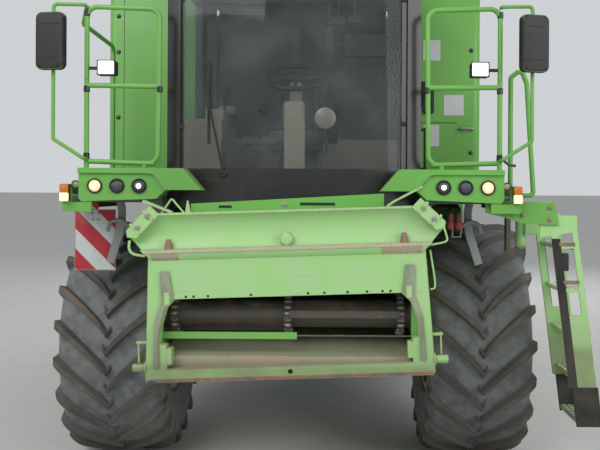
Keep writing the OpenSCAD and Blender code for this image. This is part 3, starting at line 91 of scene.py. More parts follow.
def strip_outline(line, thick):
    """Outline of a plate of one thickness that follows a bent line. Each point is set off to both
    sides along the mean of its neighbours' normals, lengthened by 1 / cos of half the bend."""
    p = np.asarray(line, float)
    d = np.diff(p, axis=0)
    n = np.stack([-d[:, 1], d[:, 0]], 1) / np.linalg.norm(d, axis=1)[:, None]
    m = np.vstack([n[:1], n[:-1] + n[1:], n[-1:]])
    m /= (m * np.vstack([n[:1], n])).sum(1)[:, None]
    return np.vstack([p + m * thick / 2, (p - m * thick / 2)[::-1]])


def spline(points, count):
    """A smooth line through points: between two of them it is the cubic of four neighbours whose
    slopes are half the step between the next and the last (Catmull and Rom's rule)."""
    p = np.asarray(points, float)
    p = np.vstack([2 * p[:1] - p[1:2], p, 2 * p[-1:] - p[-2:-1]])
    u = np.linspace(0, len(p) - 3 - 1e-9, count)
    i = u.astype(int)
    t = (u - i)[:, None]
    a, b, c, d = p[i], p[i + 1], p[i + 2], p[i + 3]
    square = t ** 2 * (a - 2.5 * b + 2 * c - d / 2)
    third = t ** 3 * (1.5 * (b - c) + (d - a) / 2)
    return b + t * (c - a) / 2 + square + third


def grid_faces(rows, cols, wrap_rows=False, wrap_cols=False):
    """Quads between neighbours of a grid of points, wrapped where the grid closes on itself."""
    i = np.arange(rows if wrap_rows else rows - 1)[:, None]
    j = np.arange(cols if wrap_cols else cols - 1)[None]
    i2, j2 = (i + 1) % rows, (j + 1) % cols
    quads = np.stack([i * cols + j, i * cols + j2, i2 * cols + j2, i2 * cols + j], 2)
    return [tuple(q) for q in quads.reshape(-1, 4).tolist()]


def skin(points, wrap_rows=False):
    """A closed surface through rings of points. Where the rows don't wrap, its ends are flat faces."""
    rows, cols = points.shape[:2]
    faces = grid_faces(rows, cols, wrap_rows, True)
    if not wrap_rows:
        faces.append(tuple(range(cols))[::-1])
        faces.append(tuple(range((rows - 1) * cols, rows * cols)))
    return points.reshape(-1, 3), faces


def prism(outline, low, high, axis="y", edge=0.0):
    """An outline carried straight along an axis from low to high. Its rims are drawn in by edge.
    Along x the outline is given in y and z, along y in x and z, and along z in x and y."""
    o = np.asarray(outline, float)
    c = o.mean(0)
    small = c + (o - c) * (1 - edge / np.maximum(np.abs(o - c).max(0), 1e-6))
    layers = [(o, low), (o, high)]
    if edge:
        layers = [(small, low), (o, low + edge), (o, high - edge), (small, high)]
    place = {"x": (2, 0, 1), "y": (0, 2, 1), "z": (0, 1, 2)}[axis]
    return skin(np.stack([np.column_stack([p, np.full(len(p), h)])[:, place] for p, h in layers]))


def slab(low, high, edge=0.0):
    """A block between two corners, its upright edges left sharp and its rims drawn in by edge."""
    (x0, y0, z0), (x1, y1, z1) = low, high
    return prism([(x0, y0), (x1, y0), (x1, y1), (x0, y1)], z0, z1, "z", edge)


def sweep(path, profile, up=(0, 0, 1), wrap=False):
    """A profile carried along a path. At each point its first axis is the path's tangent crossed
    with up, and its second is square to both."""
    p = np.asarray(path, float)
    ahead = np.roll(p, -1, 0) if wrap else np.vstack([p[1:], 2 * p[-1:] - p[-2:-1]])
    back = np.roll(p, 1, 0) if wrap else np.vstack([2 * p[:1] - p[1:2], p[:-1]])
    t = ahead - back
    t /= np.linalg.norm(t, axis=1)[:, None]
    side = np.cross(t, np.asarray(up, float))
    side /= np.linalg.norm(side, axis=1)[:, None]
    rise = np.cross(side, t)
    o = np.asarray(profile, float)
    return skin(p[:, None] + side[:, None] * o[None, :, :1] + rise[:, None] * o[None, :, 1:], wrap)


def tube(path, radius, sides=10, up=(0, 0, 1), wrap=False):
    """A round bar along a path."""
    return sweep(path, ring(radius, sides), up, wrap)


def rod(a, b, radius, sides=10):
    """A straight round bar from a to b."""
    a, b = np.asarray(a, float), np.asarray(b, float)
    up = (1, 0, 0) if abs((b - a)[2]) > 0.7 * np.linalg.norm(b - a) else (0, 0, 1)
    return tube([a, b], radius, sides, up)


def lathe(profile, axis="y", middle=(0, 0, 0), sides=32):
    """A profile of (radius, height) turned about an axis through middle: the two other coordinates
    are the radius times the cosine and sine of the turn. Ends off the axis are flat faces."""
    o = np.asarray(profile, float)
    o[:, 0] = np.maximum(o[:, 0], 1e-4)
    c = ring(1.0, sides)
    level = np.broadcast_to(o[:, None, 1:], (len(o), sides, 1))
    rings = np.concatenate([o[:, None, :1] * c[None], level], 2)
    place = {"x": (2, 0, 1), "y": (0, 2, 1), "z": (0, 1, 2)}[axis]
    return move(skin(rings[..., place]), middle)


def bolt(radius, height, axis="y", middle=(0, 0, 0)):
    """A six-sided nut on a thin washer, with a drawn-in top."""
    low = lathe([(radius * 1.35, 0), (radius * 1.35, height * 0.2), (radius * 1.2, height * 0.25)], axis,
                middle, 12)
    nut = lathe([(radius, height * 0.2), (radius, height * 0.85), (radius * 0.8, height)], axis, middle, 6)
    return joined([low, nut])


def pillow(size, r, middle=(0, 0, 0), steps=3):
    """A block with round edges: a ball of radius r whose eight parts are pushed out to the corners."""
    k = 4 * steps
    u = np.linspace(0, 2 * math.pi, k, endpoint=False) + math.pi / k
    v = np.linspace(-math.pi / 2, math.pi / 2, 2 * steps + 2)
    n = np.stack([np.outer(np.cos(v), np.cos(u)), np.outer(np.cos(v), np.sin(u)),
                  np.outer(np.sin(v), np.ones(k))], 2)
    eighth = np.stack([np.broadcast_to(np.sign(np.cos(u)), n.shape[:2]),
                       np.broadcast_to(np.sign(np.sin(u)), n.shape[:2]), np.sign(n[..., 2])], 2)
    return move(skin(eighth * (np.asarray(size, float) / 2 - r) + n * r), middle)


def move(shape, by):
    """The same shape, moved."""
    return shape[0] + np.asarray(by, float), shape[1]


def turned(shape, axis, degrees, about=(0, 0, 0)):
    """The same shape, turned about an axis through a point."""
    m = np.array(Matrix.Rotation(math.radians(degrees), 3, Vector(axis)))
    c = np.asarray(about, float)
    return (shape[0] - c) @ m.T + c, shape[1]


def mirrored(shape):
    """The same shape on the other side of the machine's middle plane."""
    v = shape[0].copy()
    v[:, 0] = 2 * MID[0] - v[:, 0]
    return v, shape[1]


def both(shape):
    """A shape and its mirror image in the machine's middle plane."""
    return joined([shape, mirrored(shape)])


def joined(shapes):
    """Many shapes as one."""
    shapes = list(shapes)
    start = np.cumsum([0] + [len(v) for v, _ in shapes])
    faces = [tuple(i + n for i in q) for n, (_, f) in zip(start.tolist(), shapes) for q in f]
    return np.vstack([v for v, _ in shapes]), faces


def repeated(shape, places):
    """One shape, copied to each place."""
    v, f = shape
    places = np.asarray(places, float)
    verts = (v[None] + places[:, None]).reshape(-1, 3)
    return verts, [tuple(i + k * len(v) for i in q) for k in range(len(places)) for q in f]


def around(shape, count, axis, about, start=0.0):
    """One shape, copied at even turns about an axis."""
    return joined(turned(shape, axis, start + 360 * i / count, about) for i in range(count))


def piece(name, shape, finish, body, slot, smooth=35.0, bevel=0.0):
    """Makes a mesh object of a shape with outward faces, gives it its finish, and lets it ride."""
    mesh = bpy.data.meshes.new(name)
    mesh.from_pydata(shape[0].tolist(), [], shape[1])
    work = bmesh.new()
    work.from_mesh(mesh)
    bmesh.ops.recalc_face_normals(work, faces=work.faces)
    work.to_mesh(mesh)
    work.free()
    obj = bpy.data.objects.new(name, mesh)
    bpy.context.scene.collection.objects.link(obj)
    mesh.materials.append(finish)
    if smooth:
        mesh.shade_smooth()
        mesh.set_sharp_from_angle(angle=math.radians(smooth))
    if bevel:
        mod = obj.modifiers.new("round edges", "BEVEL")
        mod.width = bevel
        mod.segments = 2
        mod.limit_method = "ANGLE"
    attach(obj, body)
    return obj


# Finishes

class Wire:
    """One output of a finish's nodes. An expression on wires and numbers adds its Math nodes."""

    def __init__(self, finish, socket):
        self.finish = finish
        self.socket = socket

    def math(self, operation, *values):
        return self.finish.node("ShaderNodeMath", {"operation": operation}, dict(enumerate(values)))

    def __add__(self, other):
        return self.math("ADD", self, other)

    def __sub__(self, other):
        return self.math("SUBTRACT", self, other)

    def __rsub__(self, other):
        return self.math("SUBTRACT", other, self)

    def __mul__(self, other):
        return self.math("MULTIPLY", self, other)

    def __truediv__(self, other):
        return self.math("DIVIDE", self, other)

    def __pow__(self, other):
        return self.math("POWER", self, other)

    def __mod__(self, other):
        return self.math("FLOORED_MODULO", self, other)

    __radd__ = __add__
    __rmul__ = __mul__

    def step(self, low, high):
        """0 up to low, 1 from high on, and a smooth rise between."""
        return self.finish.node("ShaderNodeMapRange", {"interpolation_type": "SMOOTHSTEP"},
                                {0: self, 1: low, 2: high})

    def most(self, other):
        return self.math("MAXIMUM", self, other)


class Finish:
    """One procedural material. Its patterns lie in the frame's metres, on Object coordinates."""

    def __init__(self, name, constants=None):
        self.mat = bpy.data.materials.new(name)
        self.mat.use_nodes = True
        self.tree = self.mat.node_tree
        self.shader = self.tree.nodes["Principled BSDF"]
        for socket, value in (constants or {}).items():
            self.shader.inputs[socket].default_value = value
        self.place = self.node("ShaderNodeTexCoord", out="Object")
        self.x, self.y, self.z = (self.node("ShaderNodeSeparateXYZ", sockets={0: self.place}, out=i)
                                  for i in range(3))

    def node(self, kind, settings=None, sockets=None, out=0):
        """Adds one node: first its settings, or its ramp's stops, then the values or links of its sockets."""
        n = self.tree.nodes.new(kind)
        for key, value in (settings or {}).items():
            if key == "stops":
                for spot, colour in value[:-2]:
                    n.color_ramp.elements.new(spot)
                for stop, (spot, colour) in zip(n.color_ramp.elements, value):
                    stop.position = spot
                    stop.color = colour
            else:
                setattr(n, key, value)
        for key, value in (sockets or {}).items():
            if isinstance(value, Wire):
                self.tree.links.new(value.socket, n.inputs[key])
            else:
                n.inputs[key].default_value = value
        return Wire(self, n.outputs[out])

    def noise(self, scale, detail=3.0, stretch=None):
        """A soft random value about 0.5. A stretch multiplies the place along each axis first."""
        place = self.place
        if stretch:
            place = self.node("ShaderNodeVectorMath", {"operation": "MULTIPLY"}, {0: place, 1: stretch})
        return self.node("ShaderNodeTexNoise", None, {"Vector": place, "Scale": scale, "Detail": detail})

    def cells(self, scale, stretch=None):
        """Distance to the nearest of many scattered points."""
        place = self.place
        if stretch:
            place = self.node("ShaderNodeVectorMath", {"operation": "MULTIPLY"}, {0: place, 1: stretch})
        return self.node("ShaderNodeTexVoronoi", None, {"Vector": place, "Scale": scale})

    def mix(self, share, a, b, blend="MIX"):
        """Colour a, turned to colour b by a share."""
        full = [c if isinstance(c, Wire) else (*c, 1.0) for c in (a, b)]
        return self.node("ShaderNodeMix", {"data_type": "RGBA", "blend_type": blend},
                         {0: share, 6: full[0], 7: full[1]}, 2)

    def facing(self):
        """How far a face looks up, from -1 to 1."""
        normal = self.node("ShaderNodeTexCoord", out="Normal")
        return self.node("ShaderNodeSeparateXYZ", None, {0: normal}, 2)

    def edges(self, radius):
        """1 on a convex or hollow edge and 0 on a flat: the turn between the true and a rounded normal."""
        round_normal = self.node("ShaderNodeBevel", {"samples": 4}, {"Radius": radius})
        true_normal = self.node("ShaderNodeNewGeometry", out="Normal")
        same = self.node("ShaderNodeVectorMath", {"operation": "DOT_PRODUCT"},
                         {0: round_normal, 1: true_normal}, 1)
        return (1 - same).step(0.01, 0.2)

    def bump(self, height, distance, strength=1.0):
        """Tilts the surface by a height in metres."""
        tilt = self.node("ShaderNodeBump", None,
                         {"Height": height, "Distance": distance, "Strength": strength})
        self.feed("Normal", tilt)

    def feed(self, socket, wire):
        self.tree.links.new(wire.socket, self.shader.inputs[socket])


DUST = (0.36, 0.29, 0.20)
MUD = (0.13, 0.095, 0.06)
RUST = (0.19, 0.075, 0.03)
PRIMER = (0.42, 0.27, 0.19)
STEEL = (0.34, 0.32, 0.30)


def paint(name, colour, dirt=0.5, wear=0.5, rough=0.38, bare=RUST):
    """Sprayed enamel. Its colour drifts with a wide noise, dust lies low down and on faces that look
    up, thin runs come down the sheet, and chips beside the edges show the metal."""
    f = Finish(name, {"Coat Roughness": 0.12})
    wide = f.noise(0.9, 3.0)
    fine = f.noise(45.0, 4.0)
    runs = f.noise(7.0, 3.0, (5.0, 5.0, 0.25))
    blots = f.noise(3.2, 5.0)
    low = f.z.step(2.1, 0.4)
    top = f.facing().step(0.5, 0.95)
    dust = (low * 0.45 + top * 0.55 + 0.10) * blots.step(0.30, 0.72) + runs.step(0.56, 0.74) * 0.16
    dust = dust * dirt * 1.3
    edge = f.edges(0.006)
    chip = ((edge * 0.55 + blots * 0.5 + fine * 0.42).step(1.02, 1.10)) * wear
    faded = f.mix(wide.step(0.35, 0.65), [c * 0.90 for c in colour],
                  [min(1.0, c * 1.08 + 0.006) for c in colour])
    dirty = f.mix(dust, faded, DUST)
    f.feed("Base Color", f.mix(chip, dirty, bare))
    f.feed("Roughness", dust * 0.45 + fine * 0.08 + chip * 0.3 + rough)
    f.feed("Coat Weight", (1 - dust) * (1 - chip) * 0.22)
    f.bump(fine * 0.35 + blots * 0.5 - chip * 0.8, 0.0012)
    return f.mat


def worn_paint(name, colour, bare=PRIMER):
    """Enamel on the part that headers rub against: milky with dust, rubbed through to pinkish primer
    and rust in broad patches, and scratched along the machine's width."""
    f = Finish(name)
    blots = f.noise(5.5, 6.0)
    fine = f.noise(60.0, 4.0)
    scratch = f.noise(16.0, 3.0, (0.35, 1.0, 6.0))
    runs = f.noise(8.0, 3.0, (5.0, 5.0, 0.3))
    edge = f.edges(0.010)
    top = f.facing().step(0.3, 0.9)
    milky = f.mix(blots.step(0.3, 0.7) * 0.45 + top * 0.3, colour, (0.44, 0.56, 0.35))
    rubbed = (blots * 0.8 + scratch * 0.55 + edge * 0.30).step(0.80, 0.96)
    rusty = (fine * 0.5 + runs * 0.55 + edge * 0.38 + blots * 0.25).step(0.98, 1.12)
    # Darker and browner towards the bottom of the frame: painted shade of the bottom bar, mixed in mud
    # colour.
    painted_low_shade = f.z.step(1.50, 1.02) * 0.30 + f.z.step(1.12, 1.05) * 0.30
    shade = f.mix(painted_low_shade * (blots + 0.5), f.mix(rubbed * 0.55, milky, bare), MUD)
    f.feed("Base Color", f.mix(rusty * 0.8, shade, RUST))
    f.feed("Roughness", rubbed * 0.15 + fine * 0.1 + rusty * 0.2 + 0.42)
    f.feed("Metallic", rubbed * 0.12)
    f.bump(fine * 0.5 + blots * 0.6 - rubbed * 0.3, 0.0015)
    return f.mat


def metal(name, colour, rust=0.3, rough=0.45, shine=0.8, dirt=0.2):
    """Bare or blackened metal: fine grain, a skin of rust in blots, and dust on top."""
    f = Finish(name)
    blots = f.noise(9.0, 6.0)
    fine = f.noise(120.0, 3.0)
    edge = f.edges(0.004)
    rusty = (blots + fine * 0.25).step(0.70 - 0.25 * rust, 0.90 - 0.25 * rust) * min(1.0, rust * 2)
    dust = f.facing().step(0.2, 0.9) * blots.step(0.35, 0.65) * dirt
    base = f.mix(edge * 0.35, colour, [min(1.0, c * 1.8 + 0.05) for c in colour])
    f.feed("Base Color", f.mix(dust, f.mix(rusty, base, f.mix(fine, RUST, PRIMER)), DUST))
    f.feed("Metallic", (1 - rusty) * (1 - dust) * shine)
    f.feed("Roughness", rusty * 0.35 + fine * 0.12 + rough)
    f.bump(fine * 0.4 + rusty * 0.6, 0.0008)
    return f.mat


def plastic(name, colour, grain=260.0, rough=0.5, dirt=0.15, coat=0.0):
    """Moulded plastic or rubber: a fine pebble grain, darker blots and a film of dust."""
    f = Finish(name, {"Coat Weight": coat, "Coat Roughness": 0.1})
    pebble = f.cells(grain)
    blots = f.noise(6.0, 4.0)
    dust = (f.facing().step(0.1, 0.9) * 0.7 + 0.3) * blots.step(0.3, 0.7) * dirt
    f.feed("Base Color", f.mix(dust, f.mix(blots, colour, [c * 0.85 for c in colour]), DUST))
    f.feed("Roughness", dust * 0.4 + pebble * 0.15 + rough)
    f.bump(pebble, 0.0003)
    return f.mat


def glass(name, tint, clear=0.80, dirt=0.12):
    """A pane that lets light straight through, and mirrors more at a low angle. Wipe marks and dust
    make it less clear."""
    f = Finish(name, {"Specular IOR Level": 0.6, "IOR": 1.5, "Coat Weight": 0.0})
    film = f.noise(2.4, 5.0).step(0.35, 0.75)
    rim = f.node("ShaderNodeLayerWeight", None, {"Blend": 0.25}, "Facing")
    haze = film * dirt
    f.feed("Base Color", f.mix(haze * 3.0, tint, (0.5, 0.5, 0.47)))
    f.feed("Alpha", (rim ** 2.0) * 0.35 + haze + (1 - clear))
    f.feed("Roughness", film * 0.05 + 0.02)
    return f.mat


def lamp_glass(name, colour, glow=0.0, ribs=0.0):
    """A lamp's lens: smooth, with upright ribs moulded in, and lit from within where glow is given."""
    f = Finish(name, {"Roughness": 0.08, "IOR": 1.5, "Emission Strength": glow})
    dusty = f.noise(30.0, 4.0).step(0.45, 0.75)
    f.feed("Base Color", f.mix(dusty * 0.2, colour, DUST))
    if glow:
        core = [min(1.0, c * 1.2 + 0.1) for c in colour]
        f.feed("Emission Color", f.mix(dusty * 0.15, core, [c * 0.7 for c in colour]))
    if ribs:
        wave = (f.x * ribs).math("SINE", f.x * ribs)
        f.bump(wave, 0.001)
    return f.mat


def lug_reach(d, inner, outer, soft):
    """1 where a distance is below the inner value, 0 above the outer one, smooth between."""
    t = np.clip((outer - d) / np.maximum(outer - inner, 1e-6), 0, 1)
    return t * t * (3 - 2 * t) if soft else t


def tyre_shape(outer_r, width, bead_r, lug_h, lugs, lug_w, middle):
    """A tyre as a grid of turn u and place s across its outline. The carcass line c(s) and the tread
    line l(s) are smooth curves, and each point is c + (l - c) m. The mask m is 1 inside a lug: its
    distance across the lug is |u - u0 - k(x)| r, where k(x) = a x^0.8 leans the lug back from the
    middle, and its inner end is round. The grid is sheared by k, so its lines follow the lugs."""
    half, base = width / 2, outer_r - lug_h
    inner = [(bead_r, half * 0.82), (bead_r + 0.018, half * 0.83), (bead_r + 0.045, half * 0.84),
             (bead_r + 0.075, half * 0.90)]
    side = [((bead_r + base) / 2, half * 0.985), (base - 0.12, half * 0.975), (base - 0.07, half * 0.92)]
    crown = [(base - 0.028, half * 0.80), (base - 0.006, half * 0.48), (base, 0.0)]
    carcass = spline(inner + side + crown, 46)[:-1]
    tread = carcass.copy()
    top = spline([(base - 0.17, half * 0.985), (outer_r - 0.095, half * 1.005),
                  (outer_r - 0.055, half * 0.985),
                  (outer_r - 0.012, half * 0.80), (outer_r, half * 0.45), (outer_r, 0.0)], 30)
    first = np.searchsorted(carcass[:, 0], base - 0.17)
    tread[first:] = spline(top, len(carcass) - first + 1)[:-1]
    carcass = np.vstack([carcass, [(base, 0.0)], (carcass * [1, -1])[::-1]])
    tread = np.vstack([tread, [(outer_r, 0.0)], (tread * [1, -1])[::-1]])
    x = tread[:, 1]
    pitch = 2 * math.pi / lugs
    wide = (lug_w * (0.82 + 0.42 * np.abs(x) / half)) / outer_r / 2
    cut = 0.007 / outer_r
    offs = np.array([-1.0, -1.0, -1.0, -0.35, 0.35, 1.0, 1.0, 1.0])
    ramp = np.array([-1.4, -0.2, 0.9, 0, 0, -0.9, 0.2, 1.4]) * cut
    own = offs[None] * wide[:, None] + ramp[None]
    valley = np.full((len(x), 1), pitch / 4)
    u = np.concatenate([own, valley, own + pitch / 2, valley * 3], 1)
    u = (u[:, None] + (np.arange(lugs) * pitch)[None, :, None]).reshape(len(x), -1)
    lean = 0.92 * (half / outer_r) * (np.abs(x) / half) ** 0.82
    mask = np.zeros_like(u)
    for sign, phase in ((1, 0.0), (-1, pitch / 2)):
        across = np.abs((u - phase + pitch / 2) % pitch - pitch / 2)
        past = np.maximum(0.0, 0.012 - sign * x)[:, None] / outer_r
        away = np.hypot(across, past) - wide[:, None]
        mask = np.maximum(mask, lug_reach(away, -cut, cut * 1.3, True))
    fade = lug_reach(base - 0.125 - carcass[:, 0], 0.0, 0.045, True)[:, None]
    mask = mask * fade
    line = carcass[:, None] + (tread - carcass)[:, None] * mask[..., None]
    angle = u + lean[:, None]
    points = np.stack([line[..., 1], -line[..., 0] * np.cos(angle), line[..., 0] * np.sin(angle)], 2)
    verts, faces = skin(points, wrap_rows=True)
    return (verts + middle, faces), mask.reshape(-1)


def rubber(name, valley, lug, dirt):
    """Tyre rubber: dried mud and dust between the lugs, darker and browner on their tops, with fine
    cracks. The share of each is the mesh's own value named lug."""
    f = Finish(name)
    share = f.node("ShaderNodeAttribute", {"attribute_name": "lug"}, out="Fac")
    blots = f.noise(14.0, 5.0)
    fine = f.noise(90.0, 4.0)
    wide = f.noise(2.2, 3.0)
    top = share.step(0.55, 0.95)
    dusty = f.mix(blots.step(0.35, 0.68), valley, [c * 0.62 for c in valley])
    brown = f.mix((wide + fine * 0.3).step(0.45, 0.75), lug, [c * 1.5 for c in lug])
    # The lugs' walls are darkened nearly to black: painted shade.
    lug_wall_shade = share.step(0.04, 0.3) * (1 - share.step(0.6, 0.95))
    colour = f.mix(lug_wall_shade * 0.55, f.mix(top, dusty, brown), (0.028, 0.026, 0.024))
    film = f.mix((blots * 0.6 + wide * 0.5).step(0.5, 0.8) * dirt, colour, DUST)
    f.feed("Base Color", film)
    f.feed("Roughness", fine * 0.2 + 0.66)
    f.bump(fine * 0.5 + blots, 0.0025)
    return f.mat


class HarvesterColours(bpy.types.PropertyGroup):
    body: FloatVectorProperty(name="Body paint", description="Colour of the green enamel",
                              subtype="COLOR", size=3, min=0, max=1, default=(0.138, 0.420, 0.064))
    # A darker copy of the body green for the body core, chopper housing and auger turret: painted shade.
    hood: FloatVectorProperty(name="Shaded paint",
                              description="Colour of the darker green painted as shade on the body core and housings",
                              subtype="COLOR", size=3, min=0, max=1, default=(0.050, 0.170, 0.028))
    worn: FloatVectorProperty(name="Front frame paint",
                              description="Colour of the rubbed enamel that headers lie on",
                              subtype="COLOR", size=3, min=0, max=1, default=(0.330, 0.620, 0.215))
    frame: FloatVectorProperty(name="Frame paint", description="Colour of the chassis and axles",
                               subtype="COLOR", size=3, min=0, max=1, default=(0.080, 0.084, 0.080))
    rim: FloatVectorProperty(name="Rim paint", description="Colour of the wheel rims",
                             subtype="COLOR", size=3, min=0, max=1, default=(0.520, 0.400, 0.060))
    mud: FloatVectorProperty(name="Mud between lugs",
                             description="Colour of the dried mud in a tyre's tread",
                             subtype="COLOR", size=3, min=0, max=1, default=(0.205, 0.215, 0.220))
    lug: FloatVectorProperty(name="Lug tops", description="Colour of a tyre's lug tops",
                             subtype="COLOR", size=3, min=0, max=1, default=(0.075, 0.062, 0.048))


class HarvesterSizes(bpy.types.PropertyGroup):
    front_lug: FloatProperty(name="Front lug height", description="Height of a front tyre's lugs",
                             unit="LENGTH", default=0.050, min=0.02, max=0.06)
    rear_lug: FloatProperty(name="Rear lug height", description="Height of a rear tyre's lugs",
                            unit="LENGTH", default=0.038, min=0.02, max=0.05)
    front_lugs: IntProperty(name="Front lugs", description="Lugs on each half of a front tyre",
                            default=20, min=12, max=26)
    rear_lugs: IntProperty(name="Rear lugs", description="Lugs on each half of a rear tyre",
                           default=18, min=12, max=26)
    lens: FloatProperty(name="Lens", description="Focal length of the camera in millimetres",
                        default=48.96, min=20, max=120)


finish = {}


def shown(obj_names, key):
    """Lays a finish on nodes of the frame."""
    for name in obj_names.split():
        for slot in nodes[name].material_slots:
            slot.material = finish[key]


class HARVESTER_OT_finishes(bpy.types.Operator):
    """Mixes the finishes and lays them on the frame's own nodes"""
    bl_idname = "harvester.finishes"
    bl_label = "Finishes"

    def execute(self, context):
        c = context.scene.harvester_colours
        finish.update({
            "body": paint("body enamel", c.body, 0.45, 0.35),
            # The sides' enamel is the body green times 0.92, darkened as painted shade, with more dust and
            # wear.
            "side": paint("side enamel", [k * 0.92 for k in c.body], 0.55, 0.4),
            "hood": paint("shaded enamel", c.hood, 0.6, 0.5),
            "worn": worn_paint("front frame enamel", c.worn),
            "frame": paint("chassis enamel", c.frame, 0.9, 0.6, 0.55),
            "rim": paint("rim enamel", c.rim, 0.8, 0.5, 0.45),
            "steel": metal("worn steel", (0.20, 0.18, 0.16), 0.75, 0.5, 0.75, 0.5),
            "iron": metal("cast iron", (0.06, 0.055, 0.05), 0.5, 0.6, 0.5, 0.5),
            "chrome": metal("rod chrome", (0.55, 0.56, 0.58), 0.0, 0.12, 1.0, 0.1),
            "zinc": metal("zinc fixings", (0.33, 0.33, 0.31), 0.25, 0.4, 0.85, 0.2),
            "dark": metal("oily dark steel", (0.105, 0.092, 0.078), 0.12, 0.45, 0.35, 0.4),
            "black": plastic("black moulding", (0.009, 0.009, 0.010), 320.0, 0.45, 0.1),
            "satin": paint("black enamel", (0.010, 0.010, 0.011), 0.20, 0.4, 0.25),
            "beige": plastic("cab moulding", (0.30, 0.27, 0.21), 420.0, 0.5, 0.2),
            "seal": plastic("rubber seal", (0.012, 0.012, 0.012), 200.0, 0.7, 0.35),
            "glass": glass("window glass", (0.10, 0.13, 0.13), 0.84, 0.07),
            "lamp": lamp_glass("clear lens", (0.55, 0.57, 0.58), 0.0, 900.0),
            "smoke": lamp_glass("grey lens", (0.20, 0.21, 0.20), 0.0, 900.0),
            "lit": lamp_glass("lit lens", (0.95, 0.62, 0.26), 0.55, 700.0),
            "work_lit": lamp_glass("lit work lamp", (1.0, 0.97, 0.88), 2.2, 300.0),
            "amber": lamp_glass("amber lens", (0.75, 0.20, 0.015), 0.0, 1100.0),
            "red": lamp_glass("red lens", (0.42, 0.010, 0.008), 0.0, 1100.0),
        })
        # Body core, chopper housing and auger turret take the darker green: painted shade.
        shown("body_core chopper_housing auger_turret", "hood")
        shown("front_panels cab_roof light_consoles railings mirrors grain_tank tank_lid_left "
              "tank_lid_right engine_housing straw_hood rear_ladder auger_tube", "body")
        # Side doors, rear panels and feeder house take the darker side enamel: painted shade.
        shown("side_door_left side_door_right rear_panels feeder_house", "side")
        # The ladder takes the paler front frame enamel so that it looks brighter in its shade: painted light.
        shown("header_frame ladder", "worn")
        shown("chassis_frame front_axle rear_axle knuckle_left knuckle_right platforms lift_barrels",
              "frame")
        shown("front_rim_left front_rim_right rear_rim_left rear_rim_right", "rim")
        shown("feeder_chain", "dark")
        shown("side_drives chopper_rotor steering_rod exhaust", "steel")
        shown("engine_block", "iron")
        shown("lift_rods", "chrome")
        shown("cab_shell cab_door air_screen air_cleaner lamps marker_board", "satin")
        shown("cab_controls", "beige")
        shown("driver_seat", "black")
        shown("cab_glass cab_door_glass", "glass")
        return {"FINISHED"}


class HARVESTER_OT_tyres(bpy.types.Operator):
    """Makes the four lugged tyres in place of the frame's plain ones"""
    bl_idname = "harvester.tyres"
    bl_label = "Tyres"

    def execute(self, context):
        c, s = context.scene.harvester_colours, context.scene.harvester_sizes
        clean = rubber("front tyre rubber", c.mud, c.lug, 0.25)
        dusty = rubber("rear tyre rubber", [k * 0.75 for k in c.mud], c.lug, 0.55)
        for end, side in (("front", "left"), ("front", "right"), ("rear", "left"), ("rear", "right")):
            wheel = f"{end}_wheel_{side}"
            node = f"{end}_tyre_{side}"
            rim_low, rim_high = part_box(f"{end}_rim_{side}")
            low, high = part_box(node)
            middle = joint_at[wheel + "_spin"].copy()
            middle[0] = (low[0] + high[0]) / 2
            bead = (rim_high[2] - rim_low[2]) / 2 - 0.030
            height, lugs = (s.front_lug, s.front_lugs) if end == "front" else (s.rear_lug, s.rear_lugs)
            shape, mask = tyre_shape((high[2] - low[2]) / 2, high[0] - low[0], bead, height, lugs, 0.062,
                                     middle)
            obj = piece(f"{node}_tread", shape, clean if end == "front" else dusty, wheel, "tyre_rubber",
                        50)
            layer = obj.data.attributes.new("lug", "FLOAT", "POINT")
            layer.data.foreach_set("value", mask.astype(np.float32))
            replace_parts(obj, node)
        return {"FINISHED"}


